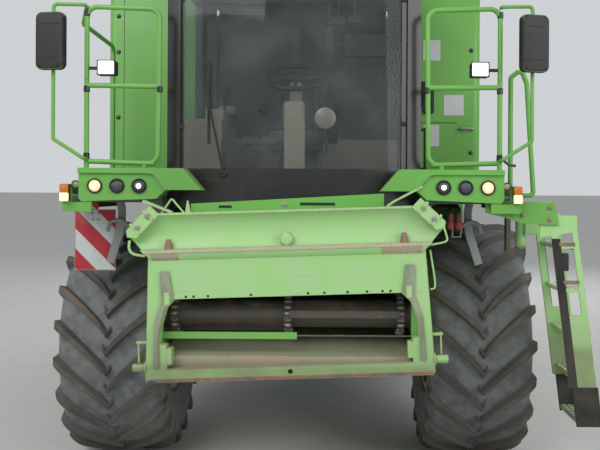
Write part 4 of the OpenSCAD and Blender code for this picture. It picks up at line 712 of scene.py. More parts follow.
class HARVESTER_OT_stage(bpy.types.Operator):
    """Lays the pale floor, hangs the soft lamps and sets the camera where the photograph was taken"""
    bl_idname = "harvester.stage"
    bl_label = "Stage and camera"

    def execute(self, context):
        scene = context.scene
        floor = Finish("pale floor", {"Roughness": 0.9, "Specular IOR Level": 0.1})
        grain = floor.noise(3.0, 6.0)
        floor.feed("Base Color", floor.mix(grain, (0.60, 0.59, 0.57), (0.68, 0.67, 0.65)))
        floor.bump(floor.noise(40.0, 4.0), 0.002)
        mesh = bpy.data.meshes.new("floor")
        r = 400.0
        mesh.from_pydata([(-r, -r, 0), (r, -r, 0), (r, r, 0), (-r, r, 0)], [], [(0, 1, 2, 3)])
        ground = bpy.data.objects.new("floor", mesh)
        mesh.materials.append(floor.mat)
        scene.collection.objects.link(ground)
        world = bpy.data.worlds.new("pale room")
        scene.world = world
        world.use_nodes = True
        tree = world.node_tree
        tree.nodes.clear()
        out = tree.nodes.new("ShaderNodeOutputWorld")
        shade, light = tree.nodes.new("ShaderNodeBackground"), tree.nodes.new("ShaderNodeBackground")
        mix, path = tree.nodes.new("ShaderNodeMixShader"), tree.nodes.new("ShaderNodeLightPath")
        seen = tree.nodes.new("ShaderNodeMath")
        seen.operation = "MAXIMUM"
        light.inputs["Color"].default_value = (0.92, 0.96, 1.0, 1.0)
        light.inputs["Strength"].default_value = 0.50
        shade.inputs["Color"].default_value = (0.62, 0.64, 0.66, 1.0)
        shade.inputs["Strength"].default_value = 1.0
        through = tree.nodes.new("ShaderNodeMath")
        through.operation = "MAXIMUM"
        tree.links.new(path.outputs["Is Camera Ray"], seen.inputs[0])
        tree.links.new(path.outputs["Is Glossy Ray"], seen.inputs[1])
        tree.links.new(seen.outputs[0], through.inputs[0])
        tree.links.new(path.outputs["Is Transmission Ray"], through.inputs[1])
        tree.links.new(through.outputs[0], mix.inputs["Fac"])
        tree.links.new(light.outputs[0], mix.inputs[1])
        tree.links.new(shade.outputs[0], mix.inputs[2])
        tree.links.new(mix.outputs[0], out.inputs["Surface"])
        for name, spot, aim, size, power in (
                ("key lamp", (-5.0, -9.0, 8.5), (0, 0, 1.2), 7.0, 620.0),
                ("fill lamp", (7.5, -7.0, 5.0), (0, 0, 1.5), 6.0, 340.0),
                ("back lamp", (3.0, 12.0, 9.0), (0, 2.0, 1.5), 8.0, 520.0)):
            data = bpy.data.lights.new(name, "AREA")
            data.size = size
            data.energy = power
            lamp = bpy.data.objects.new(name, data)
            lamp.location = at(*spot)
            lamp.rotation_euler = Vector(at(*aim) - at(*spot)).to_track_quat("-Z", "Y").to_euler()
            scene.collection.objects.link(lamp)
        data = bpy.data.cameras.new("camera")
        data.sensor_width = 36.0
        data.lens = scene.harvester_sizes.lens
        camera = bpy.data.objects.new("camera", data)
        data.shift_x, data.shift_y = -0.0623, -0.0583
        upright = Matrix.Rotation(math.radians(90), 4, "X")
        roll = Matrix.Rotation(math.radians(0.33), 4, "Z")
        camera.matrix_world = Matrix.Translation(at(0.30, -6.80, 2.12)) @ upright @ roll
        scene.collection.objects.link(camera)
        scene.camera = camera
        scene.view_settings.view_transform = "Standard"
        return {"FINISHED"}


ROLL = 2.0
ROLL_PIN = at(0, 0, 1.830)
FACE_Y = -1.966
LIP_Y = -2.004


def on_frame(name, shape, key, slot="body_green", **more):
    """A piece of the header's frame: drawn upright, then rolled with it about its pin."""
    return piece(name, turned(shape, (0, 1, 0), -ROLL, ROLL_PIN), finish[key], "header_frame", slot, **more)


def flat(outline, y0, y1, edge=0.0):
    """An outline in X and Z from the middle plane and the ground, carried from y0 to y1."""
    o = np.asarray(outline, float) + MID[[0, 2]]
    return prism(o, MID[1] + y0, MID[1] + y1, "y", edge)


def long(outline, x0, x1, edge=0.0):
    """An outline in Y and Z from the front axle and the ground, carried from x0 to x1."""
    o = np.asarray(outline, float) + MID[[1, 2]]
    return prism(o, MID[0] + x0, MID[0] + x1, "x", edge)


def cube(x, y, z, edge=0.0):
    """A block given by its spans along the three axes."""
    return slab(at(x[0], y[0], z[0]), at(x[1], y[1], z[1]), edge)


def wire(points, radius, count=0, sides=8):
    """A round bar through points, smoothed to a count of points where one is given."""
    p = [at(*q) for q in points]
    return tube(spline(p, count) if count else p, radius, sides, (0.1, 1.0, 0.05))


def cap(x, y, z, radius, rise, sides=14):
    """A low dome that looks to the front."""
    return lathe([(radius, 0), (radius * 0.92, -rise * 0.55), (radius * 0.55, -rise * 0.92), (0, -rise)],
                 "y", at(x, y, z), sides)


def clipped(shape, cuts):
    """A closed shape cut by planes, each a point and the direction that is cut away, and closed again."""
    work = bmesh.new()
    corners = [work.verts.new(v) for v in shape[0]]
    for face in shape[1]:
        work.faces.new([corners[i] for i in face])
    for point, away in cuts:
        cut = bmesh.ops.bisect_plane(work, geom=work.verts[:] + work.edges[:] + work.faces[:],
                                     plane_co=point,
                                     plane_no=away, clear_outer=True)
        bmesh.ops.edgeloop_fill(work,
                                edges=[e for e in cut["geom_cut"] if isinstance(e, bmesh.types.BMEdge)])
    work.verts.index_update()
    out = np.array([v.co[:] for v in work.verts]), [tuple(v.index for v in f.verts) for f in work.faces]
    work.free()
    return out


def other_side(points):
    """The same outline on the machine's other side, walked the other way."""
    return [(-x, z) for x, z in reversed(points)]


BACK_Y = -1.896
HALF_FRAME = [(0, 1.010), (0.858, 1.010), (0.824, 1.690), (0.824, 1.760), (0, 1.760), (0, 1.490),
              (0.671, 1.490),
              (0.726, 1.434), (0.763, 1.320), (0.768, 1.226), (0.730, 1.220), (0.730, 1.075), (0, 1.075)]
BEAM = [(BACK_Y, 1.722), (BACK_Y, 2.003), (-1.990, 2.003), (-1.990, 1.990), (-1.976, 1.987),
        (-1.950, 1.965),
        (-1.934, 1.925), (-1.930, 1.880), (-1.938, 1.835), (-1.956, 1.800), (FACE_Y, 1.790),
        (-2.004, 1.786),
        (LIP_Y, 1.768), (-1.972, 1.728), (FACE_Y, 1.722)]
BEAM_END = [(0.824, 1.748), (0.938, 1.865), (0.943, 1.907), (0.846, 2.004)]
LATCH = [(0.745, 1.994), (0.800, 2.050), (0.943, 1.907), (0.938, 1.865), (0.884, 1.857)]
END_PLATE = [(0.800, 2.003), (0.847, 2.003), (0.943, 1.907), (0.938, 1.865), (0.921, 1.877), (0.921, 1.900),
             (0.838, 1.984)]


class HARVESTER_OT_header_frame(bpy.types.Operator):
    """Makes the frame that carries the header, with its latches, nuts, wear strips, pegs, pins and rods"""
    bl_idname = "harvester.header_frame"
    bl_label = "Header frame"

    def execute(self, context):
        finish["ledge"] = worn_paint("rubbed ledge", (0.47, 0.38, 0.28), PRIMER)
        finish["bare"] = worn_paint("rubbed cheeks", (0.19, 0.20, 0.15), PRIMER)
        hole = [(x, 1.042 + z) for x, z in ring(0.015, 7, math.pi / 2, -7 * math.pi / 6)]
        outer, inner = HALF_FRAME[1:4], HALF_FRAME[5:]
        around = [(0, 1.010)] + outer + other_side(outer) + [(0, 1.010)]
        around += other_side(hole) + other_side(inner) + inner[1:] + hole
        posts = on_frame("frame_posts", flat(around, FACE_Y, BACK_Y), "worn")
        cuts = [(at(s * a[0], 0, a[1]), (s * (b[1] - a[1]), 0, a[0] - b[0])) for s in BOTH
                for a, b in zip(BEAM_END, BEAM_END[1:])]
        beam = on_frame("frame_beam", clipped(long(BEAM, -0.950, 0.950), cuts), "worn", smooth=50)
        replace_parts(posts, "header_frame")
        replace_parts(beam, "header_frame")
        on_frame("frame_ends", both(joined([
            flat(LATCH, LIP_Y + 0.012, -1.980, 0.002), flat(END_PLATE, -1.981, BACK_Y),
            cube((0.700, 0.730), (FACE_Y, BACK_Y), (1.100, 1.200), 0.004)])), "worn")
        on_frame("under_strip", cube((-0.800, 0.850), (FACE_Y + 0.006, BACK_Y - 0.006), (0.997, 1.010)),
                 "steel")
        cheek = [(0.755, 1.657), (0.748, 1.480), (0.794, 1.343), (0.806, 1.088), (0.776, 1.088),
                 (0.776, 1.226),
                 (0.769, 1.322), (0.732, 1.438), (0.678, 1.496), (0.700, 1.657)]
        on_frame("wear_cheeks", both(flat(cheek, FACE_Y - 0.013, FACE_Y - 0.008, 0.001)), "bare")
        nuts = [bolt(0.014, -0.013, "y", at(x, LIP_Y + 0.012, z))
                for x, z in ((0.812, 1.988), (0.878, 1.921))]
        on_frame("latch_nuts", both(joined(nuts)), "zinc")
        ears = [flat([(0.775, 1.972), (0.835, 2.030), (0.848, 2.016), (0.789, 1.958)], LIP_Y + 0.006,
                     LIP_Y + 0.014, 0.002),
                flat([(0.856, 1.893), (0.914, 1.952), (0.926, 1.938), (0.869, 1.880)], LIP_Y + 0.006,
                     LIP_Y + 0.014, 0.002),
                cube((0.700, 0.733), (FACE_Y - 0.014, FACE_Y + 0.002), (1.458, 1.534), 0.003)]
        on_frame("latch_plates", both(joined(ears)), "worn")
        spots = (-0.606, -0.560, -0.475, -0.220, 0.119, 0.215, 0.353, 0.468, 0.560, 0.607)
        # Black domes stand for the dark of the open rivet holes: painted shade.
        on_frame("rivet_holes", joined(cap(x, FACE_Y, 1.503, 0.008, 0.002, 10) for x in spots), "black")
        ledge = [(LIP_Y - 0.0015, 1.767), (LIP_Y + 0.0005, 1.7875), (FACE_Y, 1.7915), (FACE_Y, 1.790),
                 (LIP_Y + 0.002, 1.786), (LIP_Y, 1.767)]
        under = [(LIP_Y - 0.0015, 1.767), (LIP_Y, 1.767), (FACE_Y - 0.006, 1.728), (FACE_Y, 1.7225),
                 (FACE_Y - 0.0015, 1.721)]
        on_frame("ledge_wear", long(ledge, -0.842, 0.842), "ledge")
        on_frame("lip_wear", joined([long(under, -0.800, -0.640), long(under, 0.560, 0.800)]), "ledge")
        on_frame("sill_wear", cube((-0.729, 0.729), (FACE_Y - 0.001, BACK_Y), (1.0740, 1.0775)), "ledge")
        pegs = lathe([(0.028, 0), (0.0275, 0.003), (0.0165, 0.058), (0.0140, 0.063), (0, 0.0635)], "z",
                     at(0.697, FACE_Y - 0.010, 1.784), 20)
        on_frame("ledge_pegs", both(pegs), "steel")
        on_frame("bottom_wear", joined([
            cube((-0.799, 0.851), (FACE_Y + 0.005, FACE_Y + 0.065), (0.9965, 1.010)),
            cube((-0.845, 0.845), (FACE_Y - 0.0015, FACE_Y + 0.002), (1.012, 1.020))]), "steel")
        pin = lathe([(0.0246, 0.0), (0.0246, 0.080), (0.0200, 0.0855), (0, 0.0860)], "x",
                    at(0.855, FACE_Y + 0.030, 1.085), 20)
        collar = lathe([(0.040, 0.0), (0.040, 0.008), (0.034, 0.012), (0.026, 0.012)], "x",
                       at(0.855, FACE_Y + 0.030, 1.085), 20)
        link = [cube((0.896, 0.906), (FACE_Y + 0.022, FACE_Y + 0.036), (1.112, 1.246), 0.002),
                wire([(0.838, FACE_Y + 0.029, 1.234), (0.914, FACE_Y + 0.029, 1.234)], 0.010)]
        on_frame("lock_pins", both(joined([pin, collar] + link)), "worn")
        stub = lathe([(0.024, 0.0), (0.024, 0.086)], "x", at(0.852, FACE_Y + 0.030, 1.085), 20)
        on_frame("lock_stubs", both(stub), "worn")
        top = [flat(strip_outline([(-0.842, 2.079), (-0.672, 2.004)], 0.013), FACE_Y - 0.022,
                    FACE_Y + 0.030, 0.002),
               flat([(-0.597, 2.001), (-0.562, 2.001), (-0.576, 2.074), (-0.582, 2.074)], FACE_Y,
                    FACE_Y + 0.010),
               flat(strip_outline([(0.600, 2.002), (0.640, 2.030), (0.815, 2.116)], 0.012), FACE_Y - 0.010,
                    FACE_Y + 0.035, 0.002),
               wire([(-0.737, FACE_Y, 2.000), (-0.676, FACE_Y, 2.084), (-0.670, FACE_Y, 2.084),
                     (-0.602, FACE_Y, 2.000)], 0.006)]
        on_frame("top_strips", joined(top), "worn")
        rods = [wire([(0.930, LIP_Y + 0.010, 1.872), (0.942, LIP_Y + 0.006, 1.830),
                      (0.946, LIP_Y + 0.004, 1.796),
                      (0.915, LIP_Y + 0.006, 1.781), (0.838, LIP_Y + 0.022, 1.768)], 0.006, 20),
                wire([(0.852, FACE_Y + 0.030, 1.738), (0.876, FACE_Y + 0.030, 1.530),
                      (0.846, FACE_Y + 0.030, 1.500)], 0.006, 14),
                wire([(-0.925, LIP_Y + 0.020, 1.846), (-0.925, LIP_Y + 0.004, 1.800),
                      (-0.900, LIP_Y + 0.002, 1.768),
                      (-0.838, LIP_Y + 0.022, 1.752)], 0.008, 16)]
        on_frame("frame_rods", joined(rods), "worn")
        edges = [flat([(0.8242, 1.690), (0.8268, 1.690), (0.8608, 1.011), (0.8582, 1.011)], FACE_Y + 0.001,
                      FACE_Y + 0.069)]
        on_frame("post_edges", both(joined(edges)), "body")
        return {"FINISHED"}


DRUM = (-1.680, 1.345)
TAIL = (-0.420, 1.560)


def chain_places(radius, pitch):
    """Places and leans along a loop round the drum and the tail shaft: two straight runs joined by two
    half circles, walked at even steps of about the pitch."""
    d, t = np.array(DRUM), np.array(TAIL)
    run = np.linalg.norm(t - d)
    ahead = (t - d) / run
    side = np.array([-ahead[1], ahead[0]])
    total = 2 * run + 2 * math.pi * radius
    s = np.arange(int(total / pitch)) * total / int(total / pitch)
    first = np.clip((s - run) / radius, 0, math.pi)
    second = np.clip((s - 2 * run - math.pi * radius) / radius, 0, math.pi)
    turn = first + second
    out = np.cos(turn)[:, None] * side + np.sin(turn)[:, None] * ahead
    along = np.clip(s, 0, run) - np.clip(s - run - math.pi * radius, 0, run)
    lean = np.degrees(np.arctan2(ahead[1], ahead[0])) - np.degrees(turn)
    return d + ahead * along[:, None] + out * radius, lean


class HARVESTER_OT_feeder(bpy.types.Operator):
    """Adds the feeder chains' links, the drum's slat, the worn floor and the fixings round its mouth"""
    bl_idname = "harvester.feeder"
    bl_label = "Feeder house"

    def execute(self, context):
        finish["link"] = metal("polished links", (0.36, 0.34, 0.31), 0.15, 0.40, 0.5, 0.1)
        oval = round_rect(0.036, 0.020, 0.0098, 3)
        places, lean = chain_places(0.121, 0.038)
        plates, rollers = [], []
        roller = lathe([(0.006, -0.023), (0.0115, -0.010), (0.0115, 0.010), (0.006, 0.023)], "x", (0, 0, 0),
                       8)
        for (y, z), a in zip(places, lean):
            for dx in BOTH:
                plate = prism(oval, dx * 0.018 - 0.0025, dx * 0.018 + 0.0025, "x")
                plates.append(move(turned(plate, (1, 0, 0), a), at(0, y, z)))
            rollers.append(move(roller, at(0, y, z)))
        for name, shape, key in (("chain_plates", plates, "dark"), ("chain_rollers", rollers, "link")):
            one = joined(shape)
            piece(name, joined(move(one, (x, 0, 0)) for x in (-0.695, 0, 0.695)), finish[key], "feeder",
                  "worn_steel")
        cog = ring(0.1, 22) * (1 + 0.12 * (np.arange(22) % 2))[:, None]
        teeth = prism(spline(cog, 23), -0.008, 0.008, "x")
        piece("drum_sprockets", joined(move(teeth, at(x, *DRUM)) for x in (-0.695, 0, 0.695)),
              finish["steel"],
              "feeder", "worn_steel")
        bar = [flat([(0.010, 1.340), (0.690, 1.340), (0.690, 1.382), (0.010, 1.382)], -1.822, -1.816),
               cube((0.010, 0.690), (-1.822, -1.790), (1.338, 1.343))]
        piece("drum_slats", joined(bar), finish["dark"], "feeder", "worn_steel", bevel=0.0015)
        floor = [(-1.8915, 1.0300), (-1.8915, 1.1215), (-1.850, 1.1215), (-0.80, 1.2620), (-0.80, 1.2580),
                 (-1.850, 1.1180),
                 (-1.8895, 1.1180), (-1.8895, 1.0300)]
        strip = flat([(-0.581, 1.860), (0.581, 1.860), (0.581, 2.100), (-0.581, 2.033)], -1.888, -1.878,
                     0.001)
        cross = cube((-0.760, 0.060), (-1.870, -1.855), (1.216, 1.258), 0.002)
        piece("feeder_strip", joined([strip, cross]), finish["body"], "feeder", "body_green")
        thin = [rod(at(0.055, -1.862, 1.237), at(0.760, -1.862, 1.237), 0.006)]
        piece("mouth_rod", joined(thin), finish["dark"], "feeder", "worn_steel")
        piece("roll_pin_cap", cap(0, -1.9795, 1.830, 0.0405, 0.004, 28), finish["worn"], "feeder",
              "body_green")
        piece("floor_wear", long(floor, -0.745, 0.745), finish["ledge"], "feeder", "body_green")
        wall = long([(-1.84, 1.14), (-1.10, 1.23), (-1.10, 1.60), (-1.84, 1.50)], -0.783, -0.780)
        piece("wall_wear", both(wall), finish["ledge"], "feeder", "body_green")
        # Black blocks stand for the dark of the slots in the strip: painted shade.
        slots = [cube((-0.413, -0.335), (-1.8895, -1.8875), (2.008, 2.024)),
                 cube((0.075, 0.286), (-1.8895, -1.8875), (2.026, 2.044))]
        piece("strip_slots", joined(slots), finish["black"], "feeder", "trim_black")
        nuts = [bolt(0.011, -0.012, "y", at(x, -1.888, z))
                for x, z in ((-0.016, 2.030), (-0.50, 1.960), (-0.15, 1.960), (0.15, 1.960), (0.50, 1.960))]
        piece("strip_nuts", joined(nuts), finish["zinc"], "feeder", "worn_steel")
        return {"FINISHED"}


LAMPS = (0.993, 1.137, 1.282)
LAMP_Z = 2.139


class HARVESTER_OT_lamps(bpy.types.Operator):
    """Makes the lamp boxes, lamps, lenses and rims, and the striped board"""
    bl_idname = "harvester.lamps"
    bl_label = "Lamps and board"

    def execute(self, context):
        box = [(0.579, 2.113), (0.820, 2.113), (0.884, 2.055), (1.370, 2.036), (1.390, 2.056),
               (1.390, 2.256), (0.703, 2.256)]
        brow = [(0.579, 2.113), (0.822, 2.113), (0.860, 2.172), (0.900, 2.215), (0.930, 2.223),
                (1.390, 2.223),
                (1.390, 2.256), (0.703, 2.256)]
        side = [(1.306, 1.970), (1.500, 1.970), (1.500, 2.150), (1.440, 2.150), (1.440, 2.031),
                (1.370, 2.031), (1.370, 2.060),
                (1.306, 2.060)]
        landing = [(1.277, 2.050), (1.277, 1.976), (1.385, 1.949), (1.530, 1.905), (1.763, 1.895),
                   (1.735, 2.050)]
        boxes = joined([both(joined([flat(box, -1.480, -1.3403, 0.003), flat(brow, -1.500, -1.479, 0.002),
                                     flat(side, -1.470, -1.440, 0.002)])),
                        flat(landing, -1.418, -1.406, 0.002),
                        cube((1.277, 1.735), (-1.412, -1.3403), (2.036, 2.050), 0.002)])
        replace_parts(piece("lamp_boxes", boxes, finish["body"], "machine", "body_green", 30),
                    "light_consoles")
        tail = cube((1.220, 1.320), (5.9803, 6.012), (1.900, 2.090), 0.005)
        bodies = [cube((1.190, 1.310), (-1.340, -1.270), (2.880, 2.980), 0.008), tail,
                  cube((1.309, 1.375), (-1.320, -1.300), (2.920, 2.940)),
                  cube((1.443, 1.500), (-1.505, -1.469), (2.036, 2.150), 0.004)]
        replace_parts(piece("lamp_bodies", both(joined(bodies)), finish["black"], "machine", "trim_black"),
                    "lamps")
        for name, key, z in (("tail_lenses_red", "red", 2.045), ("tail_lenses_amber", "amber", 1.955),
                             ("tail_lenses_white", "lamp", 1.915)):
            lens = pillow((0.090, 0.022, 0.085 if key != "lamp" else 0.024), 0.008,
                          at(1.270, 6.012, z - (key == "amber") * 0.006))
            piece(name, both(lens), finish[key], "machine", "lamp_glass")
        rims, dark, clear, lit = [], [], [], []
        for s in BOTH:
            for k, x in enumerate(LAMPS):
                c = at(s * x, -1.486, LAMP_Z)
                rims.append(lathe([(0.0375, 0.006), (0.0385, -0.004), (0.0430, -0.009), (0.0480, -0.006),
                                   (0.0495, 0.002),
                                   (0.0495, 0.014), (0.0375, 0.014)], "y", c, 32))
                lens = lathe([(0.0385, 0.004), (0.0370, -0.002), (0.0290, -0.0085), (0.0160, -0.0125),
                              (0, -0.0140)], "y", c, 32)
                (clear, dark, lit)[k].append(lens)
        c = at(1.408, -1.476, LAMP_Z + 0.008)
        small = lathe([(0.021, 0.001), (0.020, -0.004), (0.011, -0.008), (0, -0.009)], "y", c, 24)
        ring_shape = lathe([(0.021, 0.0), (0.024, -0.004), (0.028, -0.002), (0.028, 0.0)], "y", c, 24)
        finish["dull"] = lamp_glass("dull marker lens", (0.34, 0.31, 0.17), 0.0, 900.0)
        finish["smoke"] = lamp_glass("smoked lens", (0.075, 0.082, 0.095), 0.0, 900.0)
        finish["warm"] = lamp_glass("warm side lens", (1.0, 0.66, 0.38), 0.8, 900.0)
        cores = [lathe([(0.017, 0.002), (0.016, -0.003), (0.009, -0.006), (0, -0.007)], "y",
                       at(s * x, -1.4985, LAMP_Z), 20)
                 for s in BOTH for x in LAMPS[::2]]
        piece("lamp_cores", joined(cores), finish["work_lit"], "machine", "lamp_glass")
        piece("lamp_rims", joined(rims + [both(ring_shape)]), finish["black"], "machine", "trim_black")
        piece("lamp_lenses_dark", joined(dark), finish["smoke"], "machine", "lamp_glass")
        piece("lamp_lenses_clear", joined(clear), finish["smoke"], "machine", "lamp_glass")
        piece("lamp_lenses_lit", joined(lit), finish["lit"], "machine", "lamp_glass")
        piece("lamp_lenses_small", both(small), finish["dull"], "machine", "lamp_glass")
        amber = pillow((0.056, 0.030, 0.054), 0.008, at(1.4715, -1.512, 2.121))
        white = pillow((0.056, 0.030, 0.056), 0.008, at(1.4715, -1.512, 2.065))
        piece("side_lamps_amber", both(amber), finish["amber"], "machine", "lamp_glass")
        piece("side_lamps_white", both(white), finish["warm"], "machine", "lamp_glass")
        hood = cube((1.188, 1.312), (-1.352, -1.338), (2.878, 2.982), 0.006)
        cooling = joined(cube((1.200, 1.300), (-1.272, -1.262), (z, z + 0.006))
                         for z in np.arange(2.895, 2.97, 0.014))
        piece("work_lamp_rims", both(joined([hood, cooling])), finish["black"], "machine", "trim_black")
        face = pillow((0.104, 0.012, 0.086), 0.005, at(1.250, -1.353, 2.930))
        piece("work_lamp_lenses", both(face), finish["work_lit"], "machine", "lamp_glass")
        f = Finish("striped board", {"Roughness": 0.35})
        left, top = at(-1.416 - 0.141, 0, 0)[0], 1.757 + 0.2115
        band = (((top - f.z) - (f.x - float(left)) + 0.150) / 0.141) % 2
        red = band.step(0.985, 1.0) * (1 - band.step(1.985, 2.0))
        grime = f.noise(9.0, 5.0).step(0.45, 0.8)
        f.feed("Base Color", f.mix(grime * 0.3, f.mix(red, (0.62, 0.64, 0.63), (0.46, 0.022, 0.035)), DUST))
        f.bump(f.cells(420.0), 0.0004)
        board = joined([cube((-1.557, -1.275), (-1.010, -1.006), (1.5455, 1.9685)),
                        cube((-1.436, -1.396), (-1.007, -1.001), (1.849, 2.029))])
        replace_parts(piece("warning_board", board, f.mat, "machine", "board_red", 0), "marker_board")
        frame_line = [(-1.559, 1.5435), (-1.273, 1.5435), (-1.273, 1.9705), (-1.559, 1.9705)]
        rim = [wire([(*a[:1], -1.008, a[1]), (*b[:1], -1.008, b[1])], 0.0035, 0, 6)
               for a, b in zip(frame_line, frame_line[1:] + frame_line[:1])]
        piece("board_rim", joined(rim), finish["zinc"], "machine", "worn_steel")
        piece("board_fixings",
              joined(cap(x, -1.0102, z, 0.009, 0.004, 12) for x in (-1.436, -1.396) for z in (1.90, 1.945)),
              finish["zinc"], "machine", "worn_steel")
        return {"FINISHED"}


class HARVESTER_OT_mirrors(bpy.types.Operator):
    """Adds the black mirror heads with their glass and clamps, and the clamps of the rails"""
    bl_idname = "harvester.mirrors"
    bl_label = "Mirrors and rails"

    def execute(self, context):
        shell, face, ribs = [], [], []
        for s, turn in ((-1, -8), (1, 14)):
            c = at(s * 1.590, -1.430, 3.090)
            around_c = dict(axis=(0, 0, 1), degrees=turn, about=c)
            rect = round_rect(0.198, 0.378, 0.040, 6)
            layers = [(0.78, -0.031), (0.93, -0.028), (1.0, -0.016), (1.0, 0.020), (0.96, 0.026)]
            rings = np.stack([np.column_stack([rect[:, 0] * k, np.full(len(rect), h), rect[:, 1] * k])
                              for k, h in layers])
            shell.append(turned(move(skin(rings), c), **around_c))
            face.append(turned(move(prism(round_rect(0.172, 0.350, 0.032, 6), 0.0255, 0.0275, "y"), c),
                               **around_c))
            ribs += [turned(move(slab((-0.07, -0.034, z - 0.003), (0.07, -0.029, z + 0.003), 0.001), c),
                            **around_c)
                     for z in (-0.11, 0.11)]
        finish["mirror"] = metal("mirror glass", (0.75, 0.77, 0.80), 0.0, 0.03, 1.0, 0.05)
        piece("mirror_shells", joined(shell + ribs), finish["black"], "machine", "trim_black")
        piece("mirror_glasses", joined(face), finish["mirror"], "machine", "window_glass", 0)
        clamp = lathe([(0.017, -0.022), (0.021, -0.018), (0.021, 0.018), (0.017, 0.022)], "z", (0, 0, 0),
                      14)
        spots = [at(s * x, -1.310, z) for s in BOTH
                 for x, z in ((1.390, 2.34), (1.390, 2.79), (1.390, 3.30), (0.900, 2.79))]
        piece("rail_clamps", repeated(clamp, spots), finish["satin"], "machine", "trim_black")
        feet = lathe([(0.045, 0.0), (0.045, 0.008), (0.022, 0.010), (0.019, 0.030)], "z", (0, 0, 0), 16)
        spots = [at(s * x, y, 2.0705) for s in BOTH for x, y in ((1.000, -1.310), (1.390, -1.310))]
        piece("rail_feet", repeated(feet, spots), finish["body"], "machine", "body_green")
        return {"FINISHED"}


def ladder_at(u, z):
    """X of a ladder rail's place u at a height: the rails lean outwards on their way down."""
    return 1.700 + (1.960 - z) * 0.125 + u


class HARVESTER_OT_ladder(bpy.types.Operator):
    """Adds the ladder's black side strips, which are painted shade, its rubber foot, studded steps, cross
    brackets and grip
    """
    bl_idname = "harvester.ladder"
    bl_label = "Ladder"

    def execute(self, context):
        def band(u, v, z0, z1):
            return [(ladder_at(u, z1), z1), (ladder_at(v, z1), z1), (ladder_at(v, z0), z0),
                    (ladder_at(u, z0), z0)]
        # A black strip along the inner edge of each side plate stands in for the rail's shaded inner face:
        # painted shade.
        side = [flat(band(-0.001, 0.056, 0.822, 1.806), y, y + 0.003) for y in (-1.4025, -0.9815)]
        foot = [flat(band(0.019, 0.189, 0.5605, 0.822), y, y + 0.018, 0.003) for y in (-1.4045, -0.9945)]
        piece("ladder_sides", joined(side), finish["satin"], "ladder", "trim_black")
        piece("ladder_feet", joined(foot), finish["seal"], "ladder", "tyre_rubber")
        studs, treads = [], []
        stud = lathe([(0.009, 0.0), (0.007, 0.005), (0, 0.0055)], "z", (0, 0, 0), 8)
        for k in range(5):
            z = 0.580 + 0.290 * k
            x = np.linspace(ladder_at(0.040, z), ladder_at(0.160, z), 4)
            y = np.linspace(-1.37, -1.01, 10)
            studs.append(repeated(stud, [at(a, b, z + 0.0245) for a in x for b in y]))
            treads.append(cube((ladder_at(0.178, z), ladder_at(0.184, z)), (-1.387, -0.993),
                               (z - 0.020, z + 0.026), 0.002))
        piece("step_studs", joined(studs), finish["zinc"], "ladder", "worn_steel")
        # The step noses take the paler front frame enamel too: painted light.
        piece("step_noses", joined(treads), finish["worn"], "ladder", "body_green")
        ties = [cube((ladder_at(0.045, z), ladder_at(0.150, z)), (-1.405, -1.388), (z - 0.012, z + 0.012),
                     0.002)
                for z in (1.769, 1.517)]
        box = cube((ladder_at(0.056, 1.65), ladder_at(0.096, 1.65)), (-1.398, -1.350), (1.592, 1.708),
                   0.004)
        piece("ladder_ties", joined(ties), finish["steel"], "ladder", "worn_steel")
        piece("ladder_catch", box, finish["black"], "ladder", "trim_black")
        knuckle = [lathe([(0.030, 0), (0.044, 0.004), (0.044, 0.012), (0.030, 0.016)], "z",
                         at(1.620, -0.930, z), 20)
                   for z in (1.712, 1.942)]
        piece("ladder_washers", joined(knuckle), finish["zinc"], "ladder", "worn_steel")
        nuts = [cap(x, -1.4185, z, 0.016, 0.010)
                for x, z in ((1.375, 1.992), (1.700, 1.930), (1.700, 2.010), (1.520, 1.960))]
        piece("landing_bolts", joined(nuts), finish["steel"], "machine", "worn_steel")
        return {"FINISHED"}


class HARVESTER_OT_couplings(bpy.types.Operator):
    """Hangs the hoses, red couplers, brackets and grey straps under the front corners of the cab"""
    bl_idname = "harvester.couplings"
    bl_label = "Hoses and straps"

    def execute(self, context):
        finish["strap"] = plastic("grey strap", (0.30, 0.31, 0.31), 300.0, 0.5, 0.3)
        finish["coupler"] = paint("red coupler enamel", (0.30, 0.035, 0.035), 0.6, 0.6, 0.45)
        path = [(1.235, -1.02, 2.028), (1.222, -1.03, 1.95), (1.228, -1.05, 1.83), (1.262, -1.05, 1.72),
                (1.300, -1.04, 1.60)]
        band = sweep(spline([at(*p) for p in path], 26), round_rect(0.058, 0.012, 0.005, 2), (0, 1, 0.02))
        hook = [wire([(1.17, -1.06, 1.86), (1.22, -1.06, 1.90), (1.29, -1.06, 1.885), (1.315, -1.06, 1.82)],
                     0.013, 20),
                wire([(1.110, -1.06, 1.86), (1.110, -1.06, 1.795), (1.165, -1.06, 1.795),
                      (1.175, -1.06, 1.855)], 0.008)]
        piece("corner_straps", both(joined([band] + hook)), finish["strap"], "machine", "frame_grey")
        red = [lathe([(0.010, 0), (0.024, 0.006), (0.026, 0.050), (0.018, 0.058), (0.018, 0.110),
                      (0.010, 0.120)], "z",
                     at(x, -1.16, 1.850), 16) for x in (1.085, 1.140)]
        hoses = [wire([(x, -1.16, 1.960), (x, -1.15, 2.000), (x - 0.05, -0.95, 2.010),
                       (0.925, -0.70, 1.955)], 0.012, 16)
                 for x in (1.085, 1.140)]
        piece("couplers", joined(red), finish["coupler"], "machine", "worn_steel")
        piece("coupler_hoses", joined(hoses), finish["seal"], "machine", "trim_black")
        return {"FINISHED"}


